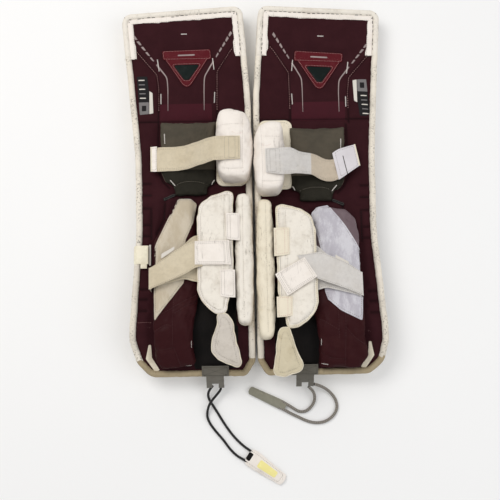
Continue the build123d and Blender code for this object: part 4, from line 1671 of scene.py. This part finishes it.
def knee_cradle(pad):
    """Charcoal landing pad; below the strap it is painted darker as shade, with a tongue seamed off by an
    arc.
    """
    d = pad.cradle_drop
    made = moved(FORMS["cradle"], d)
    surface = Surface(made)
    top_seam = surface.line(lowered([(-204, 154), (-86, 154)], d))
    arc = lowered(eased(resampled(TONGUE_ARC, 4), 5), d)
    arc_seam = surface.line(arc)
    strap_shadow = lowered([(-204, 62), (-88, 64)], d)
    made = worked(made, [top_seam, arc_seam], 2.0, 3.4, 0.6, 36, pad.seed, [(strap_shadow, 1.0)])
    surface = Surface(made)
    # painted shade: the faces below the strap get the darker charcoal
    looks = [SHADE if made[0][f].mean(0)[1] < 44 - d else CHARCOAL for f in made[1]]
    shape = Shape().add(made, looks)
    hem = surface.line(lowered([(-203, 155), (-88, 155)], d), 0.1)
    shape.add(stitches(hem, 3, 2, 0.4), THREAD_BLACK)
    shape.add(stitches(surface.line(arc, 0.1), 3, 1.6, 0.4), THREAD_GREY)
    rim = lowered([(-204, 42), (-195, 20), (-181, 10), (-171, -15), (-102, -15), (-100, 5)], d)
    shape.add(pipe(surface.line(rim, -0.2), 0.8), CHARCOAL)
    for a, b in (((-197, 129), (-196, 106)), ((-184, 21), (-173, 8)), ((-95, 7), (-86, 20))):
        line = surface.line(lowered([a, b], d), 0.4, 1.2)
        shape.add(stitches(line, 2.4, 0.1, 1.2), THREAD_WHITE)
    stuffed(pad, "knee_cushion", shape, "shin", "shin", "charcoal_fabric", ["knee_cradle"])
    tag = Shape()
    plan = lowered([(-200, -18), (-174, -7), (-172, -13), (-198, -25)], d)
    tag.add(patch(plan, level(48.6), 1.2, 2.0, 1.0), LABEL)
    line = resampled(rounded(plan_inset(plan, 1.2), 1), 2, True)
    edging = np.column_stack([line, np.full(len(line), 49.9)])
    tag.add(stitches(edging, 1.5, 1.2, 0.25, True), THREAD_GREY)
    tag.emit(f"{pad.name}_side_tag", pad, "shin", f"{pad.name}_shin", "label_cloth")


def knee_block(pad):
    """Leather-covered knee stack: piped base, rounded body with panel seams."""
    base = Shape()
    corners = base_plan(pad)
    plan = resampled(rounded(corners, 14), 4, True)
    base.add(pillow(corners, LINER_TOP, 53.0, 2.2, 14, 4), LEATHER_CREAM)
    rim = np.column_stack([plan, np.full(len(plan), 50.5)])
    base.add(pipe(rim, 2.0, closed=True), LEATHER_CREAM)
    seam = resampled(rounded(plan_inset(corners, 4), 12), 4, True)
    seam = np.column_stack([seam, np.full(len(seam), 53.2)])
    base.add(stitches(seam, 3, 2, 0.4, True), THREAD_GREY)
    stuffed(pad, "knee_flange", base, "shin", "shin", "white_leather", ["knee_block_base"])
    made = moved(FORMS["block"], pad.block_drop, pad.block_width, BLOCK_EDGE)
    surface = Surface(made)

    def place(points):
        return moved_line(points, pad.block_drop, pad.block_width, BLOCK_EDGE)

    top = [(-79, 124), (-52, 124), (-27, 124), (-22, 128)]
    upright = [(-22, 151), (-24, 90), (-25, 40), (-23, -2)]
    dart = [(-45, 108), (-36, 103), (-28, 104), (-21, 108)]
    foot_seam = [(-76, 26), (-48, 23), (-26, 24)]
    lines = [surface.line(place(line)) for line in (top, upright, dart, foot_seam)]
    foot = surface.around(rounded(place(BLOCK_PLAN), 12), 60)
    made = worked(made, lines, 1.7, 3.0, 0.6, 40, pad.seed)
    surface = Surface(made)
    shape = Shape().add(made, LEATHER_CLEAN)
    shape.add(pipe(foot, 1.6, closed=True), LEATHER_CREAM)
    for line in (top[:3], upright, foot_seam):
        beside = place(line) + (1.8, 1.8)
        shape.add(stitches(surface.line(beside, 0.1), *SEAM_STITCH), THREAD_GREY)
    shape.add(stitches(surface.line(place(dart), 0.1), 2.4, 1.6, 0.35), THREAD_PINK)
    stuffed(pad, "knee_stack", shape, "shin", "shin", "white_leather", ["knee_block"])


KNEE_STRAP = {  # upper and lower edges, millimetres on the flat left pad
    "left": (
        [(-28, 96, 129.6), (-84, 96, 129.4), (-98, 96, 119), (-150, 96, 72), (-174, 96, 65),
         (-217, 95.5, 64.4)],
        [(-28, 44, 129.6), (-84, 42, 129.4), (-98, 41, 119), (-150, 40, 72), (-174, 40, 65),
         (-217, 39.5, 64.4)],
    ),
    "right": (
        [(-26, 66, 129.6), (-65, 68, 129.4), (-82, 72, 118), (-102, 66, 104), (-129, 70, 83),
         (-144, 66, 75), (-160, 59, 69), (-177, 59, 66.4), (-198, 69, 65)],
        [(-27, 12, 129.6), (-63, 7, 129.4), (-80, 12, 118), (-101, 17, 104), (-130, 21, 83),
         (-143, 14, 75), (-158, 9, 69), (-173, 8, 66.4), (-196, 18, 65)],
    ),
}
KNEE_TIP = {
    "left": (
        [(-213, 97, 66.8), (-220, 97, 67.0), (-226, 96, 66.0)],
        [(-213, 38.5, 66.8), (-220, 38.5, 67.0), (-225, 39, 66.0)],
    ),
    "right": (
        [(-176, 74, 68.6), (-190, 84, 68.8), (-206, 88, 68.2), (-228, 95, 66.0)],
        [(-188, 12, 68.6), (-196, 17, 68.8), (-210, 27, 68.2), (-237, 46, 66.0)],
    ),
}
KNEE_TUCKS = {  # share along, share across, depth, width of each wrinkle
    "left": [(0.60, 0.42, 5.0, 0.060), (0.68, 0.24, 3.6, 0.035), (0.68, 0.66, 4.4, 0.040),
             (0.52, 0.62, 3.6, 0.035), (0.54, 0.22, 2.6, 0.035)],
    "right": [(0.16, 0.22, -4.0, 0.060), (0.17, 0.50, -4.0, 0.070), (0.16, 0.78, -3.6, 0.060),
              (0.36, 0.35, 3.0, 0.030), (0.40, 0.68, 3.0, 0.030)],
}


def knee_strap(pad):
    """Elastic knee strap, sewn to the block, with a folded pull tip."""
    ribbon = Ribbon(*KNEE_STRAP[pad.name], 2.4, ripple=0.8, seed=pad.seed,
                    tucks=KNEE_TUCKS[pad.name], rows=33)
    points, faces, lengths = ribbon.made
    looks = [STRAP[pad.name]] * len(faces)
    if pad.mirrored:
        looks = [STRAP_TAN if points[f].mean(0)[0] < -127 else STRAP["right"] for f in faces]
    shape = Shape().add((points, faces, lengths), looks)
    for box in (box_stitch(0.05, 0.115, 0.06, 0.94), box_stitch(0.015, 0.16, 0.04, 0.96)):
        shape.add(stitches(ribbon.line(box), *STRAP_STITCH), THREAD_GREY)
    for v in (0.04, 0.10, 0.90, 0.96):
        shape.add(stitches(ribbon.line([(0.17, v), (0.98, v)]), 2.4, 1.8, 0.3), THREAD_GREY)
    ends = KNEE_STRAP[pad.name]
    length = np.linalg.norm(np.diff(np.array(ends[0], float), axis=0), axis=1).sum()
    sheet(pad, "knee_elastic", shape, "shin", "knee_strap", "strap_webbing", ["knee_strap"])
    tip = Ribbon(*KNEE_TIP[pad.name], 2.6, step=2.5, ripple=0.3, seed=pad.seed + 5, rows=15)
    shape = Shape().add(tip.made, TIP_WHITE if pad.mirrored else LEATHER_CLEAN)
    shape.add(stitches(tip.line(box_stitch(0.12, 0.9, 0.06, 0.94)), *STRAP_STITCH), THREAD_GREY)
    fold = [tip.at(0.97, v, -0.9) for v in np.linspace(0, 1, 12)]
    shape.add(pipe(fold, 1.9, sides=8), LEATHER_CREAM)
    if pad.mirrored:
        shape.add(pipe([tip.at(0.40, v, 0.2) for v in np.linspace(0.3, 1, 12)], 0.8), THREAD_BLACK)
    obj = shape.emit(f"{pad.name}_knee_pull", pad, "shin", f"{pad.name}_knee_strap", "strap_webbing")
    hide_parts(f"{pad.name}_knee_strap_tab")


# ---- calf ----------------------------------------------------------------------------------------------
def stretched_form(made, old, new):
    """A form whose Y runs from old to new ends."""
    points = made[0].copy()
    share = (points[:, 1] - old[0]) / (old[1] - old[0])
    points[:, 1] = new[0] + share * (new[1] - new[0])
    return points, made[1]


MAROON_SEAMS = {
    "left": [
        [(-176, -228), (-178, -290), (-179, -338), (-163, -386)],
        [(-216, -292), (-176, -268), (-122, -238)],
        [(-175, -282), (-150, -266), (-122, -254)],
        [(-221, -316), (-193, -303), (-180, -306)],
        [(-219, -352), (-179, -345)],
    ],
    "right": [
        [(-192, -269), (-191, -330), (-190, -398)],
        [(-177, -262), (-177, -330)],
        [(-120, -289), (-148, -303), (-177, -316)],
        [(-192, -312), (-212, -330), (-232, -345)],
        [(-131, -359), (-160, -373), (-188, -376)],
    ],
}
LOOP_PLAN = {
    "left": [
        (-216, -136), (-166, -24), (-139, -24), (-125, -36), (-133, -82), (-149, -120), (-153, -214),
        (-216, -298), (-217, -172),
    ],
    "right": [
        (-227, -149), (-197, -95), (-162, -44), (-138, -48), (-125, -62), (-142, -141), (-148, -236),
        (-154, -256), (-180, -280), (-225, -304), (-229, -249),
    ],
}


def leg_channel(pad):
    """Maroon leather from the calf's padded wall to the toe, bending at the boot, and its loop panel."""
    made = FORMS[f"maroon_{pad.name}"]
    surface = Surface(made)
    seams = MAROON_SEAMS[pad.name]
    made = worked(made, [surface.line(seam) for seam in seams], 2.0, 3.2, 0.8, 38, pad.seed)
    surface = Surface(made)
    looks = [MAROON] * len(made[1])
    # painted highlight: the upper outer faces of the right channel get the lighter maroon
    if pad.mirrored:
        centres = [made[0][f].mean(0) for f in made[1]]
        highlit = [c[1] > -149 and 107 * c[0] + 65 * c[1] < -20500 for c in centres]
        looks = [MAROON_PAINTED_HIGHLIGHT if found else MAROON for found in highlit]
    shape = Shape().add(made, looks)
    for seam in seams:
        beside = np.array(seam, float) + (1.6, 1.6)
        shape.add(stitches(surface.line(beside, 0.15), *SEAM_STITCH), SEAM_RED)
    for a, b in (((-152, -386), (-138, -384)), ((-138, -330), (-138, -345))):
        shape.add(stitches(surface.line([a, b], 0.4, 1.2), 2.2, 0.3, 0.7), THREAD_WHITE)
    obj = shape.emit(f"{pad.name}_calf_channel", pad, slot="maroon_leather")
    across_fold(obj, pad, "boot", ["leg_channel", "boot_pad"])
    corners = np.array(LOOP_PLAN[pad.name], float)
    plan = resampled(rounded(corners, 1.5), 5, True)

    def top(x, y):
        return np.maximum(heights(surface, x, y, 60.0), 60.0) + 0.3

    panel = Shape().add(patch_grid(corners, top, 1.8, 5.0, 1.5, pad.seed), LOOP[pad.name])
    area = abs(signed_area(plan)) * MM * MM
    edge = resampled(rounded(plan_inset(corners, 3.5), 4), 3, True)
    edge = np.column_stack([edge, top(*edge.T) + 2.0])
    panel.add(stitches(edge, 2.8, 1.8, 0.4, True), THREAD_GREY)
    sheet(pad, "loop_field", panel, "shin", "shin", "loop_fabric", ["loop_panel"])


def patch_grid(corners, height, thickness, step, radius, seed):
    """A cloth patch on a fine square mesh, cut to a plan, gently rumpled."""
    line = resampled(rounded(corners, radius), step, True)
    bm = bmesh.new()
    rim = [bm.verts.new((x, y, 0)) for x, y in line]
    bm.faces.new(rim)
    low, high = line.min(0), line.max(0)
    for axis in (0, 1):
        for cut in np.arange(low[axis] + step, high[axis] - step / 2, step):
            where, way = [0, 0, 0], [0, 0, 0]
            where[axis], way[axis] = cut, 1
            bmesh.ops.bisect_plane(bm, geom=bm.verts[:] + bm.edges[:] + bm.faces[:],
                                   plane_co=where, plane_no=way, dist=0.05)
    bmesh.ops.remove_doubles(bm, verts=bm.verts[:], dist=0.3)
    bm.normal_update()
    if sum(f.normal.z for f in bm.faces) < 0:
        bmesh.ops.reverse_faces(bm, faces=bm.faces[:])
    bm.verts.index_update()
    co = np.array([v.co for v in bm.verts])
    faces = [[v.index for v in f.verts] for f in bm.faces]
    border = [(e.verts[0].index, e.verts[1].index) for e in bm.edges if e.is_boundary]
    edge = sorted({i for pair in border for i in pair})
    winding = {pair for f in faces for pair in zip(f, f[1:] + f[:1])}
    bm.free()
    x, y = co[:, 0], co[:, 1]
    base = height(x, y)
    rumple = 0.35 * waves(x, y, 30, seed) + 0.2 * waves(x, y, 12, seed + 1)
    top = base + thickness + rumple
    top[edge] -= thickness * 0.35
    n = len(co)
    points = np.vstack([np.column_stack([x, y, top]), np.column_stack([x, y, base])])
    wall = []
    for a, b in border:
        if (a, b) in winding:
            a, b = b, a
        wall.append([a, b, b + n, a + n])
    return points, faces + under_faces(faces, n) + wall, points[:, :2].copy()


ANCHOR = (
    [(-104, -106, 77), (-134, -113, 77.5), (-160, -141, 83), (-216, -187, 91.5),
     (-223.5, -192, 88), (-225.5, -193, 76), (-225.5, -193, 48)],
    [(-104, -218, 77), (-134, -212, 77.5), (-150, -207, 82), (-216, -226, 91.5),
     (-223.5, -229, 88), (-225.5, -230, 76), (-225.5, -229, 48)],
)
CALF_STRAP = {
    "left": (
        [(-112, -128, 97.4), (-138, -131, 97.6), (-168, -148, 97.2), (-214, -180, 95.8),
         (-226.5, -186, 92.4)],
        [(-112, -184, 97.4), (-128, -186, 97.6), (-145, -199, 97.2), (-213, -227, 95.8),
         (-226, -232, 92.4)],
    ),
    "right": (
        [(-90, -164, 97.4), (-134, -158, 97.6), (-143, -158, 97.4), (-191, -179, 96.8),
         (-220, -198, 95.4), (-228, -203, 92.4)],
        [(-112, -208, 97.4), (-137, -217, 97.6), (-160, -226, 97.4), (-189, -236, 96.8),
         (-220, -249, 95.4), (-228, -253, 92.4)],
    ),
}
CALF_TAB = {
    "left": ([(-128, -130, 101), (-55, -129, 101)], [(-128, -181, 101), (-51, -182, 101)]),
    "right": ([(-131, -211, 101), (-67, -252, 101)], [(-105, -169, 101), (-42, -205, 101)]),
}
WING_TABS = {  # x, y, width, length of each hinge tab
    "left": ((-46, -98, 30, 60), (-59, -222, 33, 60)),
    "right": ((-58, -133, 34, 62), (-61, -274, 34, 44)),
}
WING_EDGE = -34.0        # the wing's inner edge, about which its width differs


def calf_straps(pad):
    """Under layer, elastic and sewn leather end of the calf strap."""
    drop = pad.calf_drop
    edges = [[(x, y - drop, z) for x, y, z in edge] for edge in ANCHOR]
    ribbon = Ribbon(*edges, 2.4, ripple=0.5, seed=pad.seed + 2, rows=17)
    shape = Shape().add(ribbon.made, STRAP[pad.name])
    for v in (0.05, 0.95):
        shape.add(stitches(ribbon.line([(0.03, v), (0.7, v)]), 2.6, 1.8, 0.35), THREAD_GREY)
    tag = [(-200, -166), (-172, -147), (-171, -139), (-199, -155)]
    tag = [(x, y - drop) for x, y in tag]
    shape.add(patch(tag, level(93.4), 0.8, 2.0, 1.0), LABEL_WHITE)
    sheet(pad, "calf_sling", shape, "shin", "shin", "strap_webbing", ["strap_anchor"])
    strap = Ribbon(*CALF_STRAP[pad.name], 2.4, ripple=0.6, seed=pad.seed + 3, rows=15)
    shape = Shape().add(strap.made, STRAP[pad.name])
    for v in (0.04, 0.96):
        shape.add(stitches(strap.line([(0.02, v), (0.97, v)]), 2.4, 1.8, 0.3), THREAD_GREY)
    fold = [strap.at(0.985, v, -1.2) for v in np.linspace(0, 1, 12)]
    shape.add(pipe(fold, 1.6), STRAP[pad.name])
    sheet(pad, "calf_elastic", shape, "shin", "calf_strap", "strap_webbing", ["calf_strap"])
    tab = Ribbon(*CALF_TAB[pad.name], 3.0, step=3.0, ripple=0.35, seed=pad.seed + 4, rows=17)
    shape = Shape().add(tab.made, LEATHER_CLEAN)
    for box in (box_stitch(0.04, 0.96, 0.05, 0.95), box_stitch(0.09, 0.86, 0.11, 0.89)):
        shape.add(stitches(tab.line(box), 2.6, 1.6, 0.38), THREAD_GREY)
    for u in (0.83, 0.92):
        shape.add(stitches(tab.line([(u, 0.05), (u, 0.95)]), 2.6, 1.4, 0.38), THREAD_GREY)
    obj = shape.emit(f"{pad.name}_calf_tab", pad, "shin", f"{pad.name}_calf_strap", "white_leather")
    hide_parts(f"{pad.name}_calf_strap_tab")


def calf_wing(pad):
    """Leather wing over the calf: bound edge, seam bands and two hinge tabs."""
    made = moved(FORMS["wing"], pad.wing_drop, pad.wing_width, WING_EDGE)

    def place(points):
        return moved_line(points, pad.wing_drop, pad.wing_width, WING_EDGE)

    surface = Surface(made)
    plan = place(WING_PLAN)
    band_line = plan_inset(plan, 10)
    band = surface.line(rounded(band_line, 7), 0, 4, True)
    uprights = [surface.line(place([(x, -24), (x - 3, -270)])) for x in (-62, -53)]
    made = worked(made, [joined(band)] + uprights, 1.8, 2.4, 0.75, 34, pad.seed + 6)
    surface = Surface(made)
    inner_look = LEATHER_CREAM if pad.mirrored else LEATHER_CLEAN
    looks = []
    for f in made[1]:
        c = made[0][f].mean(0)
        looks.append(LEATHER if inside(c[0], c[1], band_line) else inner_look)
    shape = Shape().add(made, looks)
    for inset in (7.8, 12.4):
        line = surface.line(rounded(plan_inset(plan, inset), 7), 0.1, 3, True)
        shape.add(stitches(line, *SEAM_STITCH, True), THREAD_GREY)
    outer = surface.around(rounded(plan, 5), 86)
    shape.add(pipe(outer, 1.5, closed=True), LEATHER_CREAM)
    for x in (-64.5, -50.5):
        line = surface.line(place([(x, -26), (x - 3, -266)]), 0.1)
        shape.add(stitches(line, *SEAM_STITCH), THREAD_GREY)
    stuffed(pad, "calf_flap", shape, "shin", "calf_wing", "white_leather", ["calf_wing"])
    tabs = Shape()
    for x, y, width, length in WING_TABS[pad.name]:
        left, right = x - width / 2, x + width / 2
        high, low = y + length / 2, y - length / 2
        top_edge = [(left, high, 96.6), (x, high, 97.2), (right - 3, high, 96.2), (right, high, 93)]
        low_edge = [(left + 1, low + 3, 96.6), (x, low, 97.2), (right - 3, low, 96.2), (right, low, 93)]
        tab = Ribbon(top_edge, low_edge, 2.4, step=2.5, ripple=0.3, seed=pad.seed, rows=19)
        tabs.add(tab.made, inner_look)
        colour = THREAD_PINK if pad.mirrored else THREAD_GREY
        tabs.add(stitches(tab.line(box_stitch(0.09, 0.86, 0.06, 0.94)), *STRAP_STITCH), colour)
        tabs.add(stitches(tab.line([(0.3, 0.06), (0.3, 0.94)]), *STRAP_STITCH), colour)
    obj = tabs.emit(f"{pad.name}_wing_tabs", pad, "shin", f"{pad.name}_calf_wing", "white_leather")
    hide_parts(f"{pad.name}_hinge_tabs")


def ankle_tail(pad):
    """Small padded tail below the wing, drooping towards the boot."""
    plan = TAIL_PLAN[pad.name]
    made = FORMS[f"tail_{pad.name}"]
    surface = Surface(made)
    seam = surface.line(rounded(plan_inset(plan, 9), 5), 0, 3, True)
    waist = surface.line([(-92, -24), (-45, -18)])
    made = worked(made, [joined(seam), waist], 1.3, 2.4, 0.7, 26, pad.seed + 9)
    surface = Surface(made)
    parts = [(made, KHAKI_LEATHER if pad.mirrored else GREY_LEATHER)]
    inner = rounded(plan_inset(plan, 11.5), 4)
    parts.append((stitches(surface.line(inner, 0.1, 3, True), 2.6, 1.7, 0.35, True), THREAD_GREY))
    parts.append((pipe(surface.around(rounded(plan, 5), -6), 1.5, closed=True), LEATHER_CREAM))
    shape = Shape()
    y0, z0 = TAIL_START[0] - pad.wing_drop, TAIL_START[1]
    for part, look in parts:
        co = part[0].copy()
        y, z = co[:, 1].copy(), co[:, 2].copy()
        co[:, 1] = y0 + y * math.cos(TAIL_TILT) - z * math.sin(TAIL_TILT)
        co[:, 2] = z0 + y * math.sin(TAIL_TILT) + z * math.cos(TAIL_TILT)
        shape.add((co, part[1]), look)
    stuffed(pad, "ankle_flap", shape, "shin", "calf_wing", "white_leather", ["ankle_tail"])


def calf_riser(pad):
    """Long leather bolster along the inner edge."""
    low, high = RISER_ENDS[pad.name]
    made = stretched_form(FORMS["riser"], (-296, -8), (low, high))
    surface = Surface(made)
    plan = rounded([(-39, high), (-7, high), (-7, low), (-39, low)], 12)
    top = surface.line([(-27, low + 12), (-27, high - 12)])
    across = [surface.line([(-39, y), (-7, y + 3)]) for y in (high - 34, low + 60)]
    waist = surface.around(plan, 72)
    lines = [top, joined(waist)] + across
    made = worked(made, lines, 1.6, 3.0, 0.9, 38, pad.seed + 11)
    surface = Surface(made)
    shape = Shape().add(made, LEATHER_CREAM if pad.mirrored else LEATHER)
    seam = surface.line([(-25, low + 14), (-25, high - 14)], 0.1)
    shape.add(stitches(seam, *SEAM_STITCH), THREAD_GREY)
    shape.add(pipe(surface.around(plan, 56), 1.5, closed=True), LEATHER_CREAM)
    shape.add(pipe(surface.around(plan, 72, 0.1), 1.1, closed=True), LEATHER_CREAM)
    stuffed(pad, "calf_bolster", shape, "shin", "shin", "white_leather", ["calf_riser"])


CLIP_X = -263.8          # where the keeper runs down the outer wall


CLIP_HOOK = [(-231, 56.8), (-252, 57.4), (CLIP_X + 3, 57.2), (CLIP_X, 54), (CLIP_X, 24)]


def edge_clip(pad):
    """Moulded keeper gripping the outer edge, with a short lower lip and a web strip beside it."""
    hook = [[(x, y, z) for x, z in CLIP_HOOK] for y in (-127, -168)]
    shape = Shape().add(Ribbon(*hook, 3.6, step=2.0, ripple=0.15, seed=4, rows=12).made, PLASTIC)
    lip = [[(x, y, 56.6) for x in (-234, -240, -248)] for y in (-168, -178)]
    shape.add(Ribbon(*lip, 3.2, step=2.0, rows=6).made, PLASTIC)
    inner = [[(x, y, 50.5) for y in (-124, -170)] for x in (-226, -230)]
    shape.add(Ribbon(*inner, 2.0, rows=4).made, LABEL_WHITE)
    obj = shape.emit("left_keeper", pad, "shin", "left_shin", "white_plastic")
    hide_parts("left_edge_clip")


# ---- toe -----------------------------------------------------------------------------------------
def toe_tab(pad):
    """Webbing tab over the toe edge, notched for the tie."""
    out = pad.tab_out

    def strip(x0, x1, y0, y1, seed, lift=0.0):
        def edge(x):
            ys = np.linspace(y0, y1, 8)
            return [(x - out, y, 57.4 + lift + min(0, y + 417) * 0.6) for y in ys]

        return Ribbon(edge(x0), edge(x1), 3.2, step=2.5, ripple=0.25, seed=seed, rows=11)

    shape = Shape()
    wide = strip(-118, -60, -390, -413, 3)
    shape.add(wide.made, TAB)
    shape.add(strip(-109, -71, -408, -433, 6, -0.6).made, TAB)
    for x0, x1, seed in ((-109, -97, 4), (-83, -71, 5)):
        shape.add(strip(x0, x1, -424, -444, seed, 0.4).made, TAB)
    shape.add(stitches(wide.line(box_stitch(0.12, 0.9, 0.05, 0.95, True)), *STRAP_STITCH), THREAD_BLACK)
    obj = shape.emit(f"{pad.name}_toe_web", pad, "boot", f"{pad.name}_boot", "grey_webbing")
    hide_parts(f"{pad.name}_toe_tab")


for pad in (LEFT, RIGHT):
    ground = GROUND[pad.name]
    corner_caps(pad)
    marks(pad, ground)
    badge(pad, ground)
    label(pad, ground)
    knee_cradle(pad)
    knee_block(pad)
    knee_strap(pad)
    leg_channel(pad)
    calf_straps(pad)
    calf_wing(pad)
    ankle_tail(pad)
    calf_riser(pad)
    toe_tab(pad)
edge_clip(LEFT)


# ---- floor and light ---------------------------------------------------------------------------
def add_stage():
    """A pale floor under soft studio light."""
    mesh = bpy.data.meshes.new("floor")
    half = 6.0
    corners = [(-half, -half, 0), (half, -half, 0), (half, half, 0), (-half, half, 0)]
    mesh.from_pydata(corners, [], [[0, 1, 2, 3]])
    n = Nodes("floor", 0.9, specular=0.1)
    n.colour(n.mix(n.noise(2.0), (0.90, 0.90, 0.90), (0.88, 0.88, 0.88)))
    mesh.materials.append(n.material)
    floor = bpy.data.objects.new("floor", mesh)
    bpy.context.scene.collection.objects.link(floor)
    lights = [
        ("key", (-1.2, 0.9, 2.6), 1.6, 36.0, (1.0, 0.97, 0.93)),
        ("fill", (1.8, -0.6, 2.2), 2.4, 18.0, (0.96, 0.98, 1.0)),
    ]
    for name, place, size, power, colour in lights:
        data = bpy.data.lights.new(name, "AREA")
        data.size = size
        data.energy = power
        data.color = colour
        lamp = bpy.data.objects.new(name, data)
        lamp.location = place
        lamp.rotation_mode = "QUATERNION"
        lamp.rotation_quaternion = (-Vector(place)).to_track_quat("-Z", "Y")
        bpy.context.scene.collection.objects.link(lamp)
    world = bpy.data.worlds.new("studio")
    world.use_nodes = True
    world.node_tree.nodes["Background"].inputs["Color"].default_value = (1, 1, 1, 1)
    world.node_tree.nodes["Background"].inputs["Strength"].default_value = 0.62
    bpy.context.scene.world = world
    bpy.context.scene.view_settings.view_transform = "Standard"


add_stage()
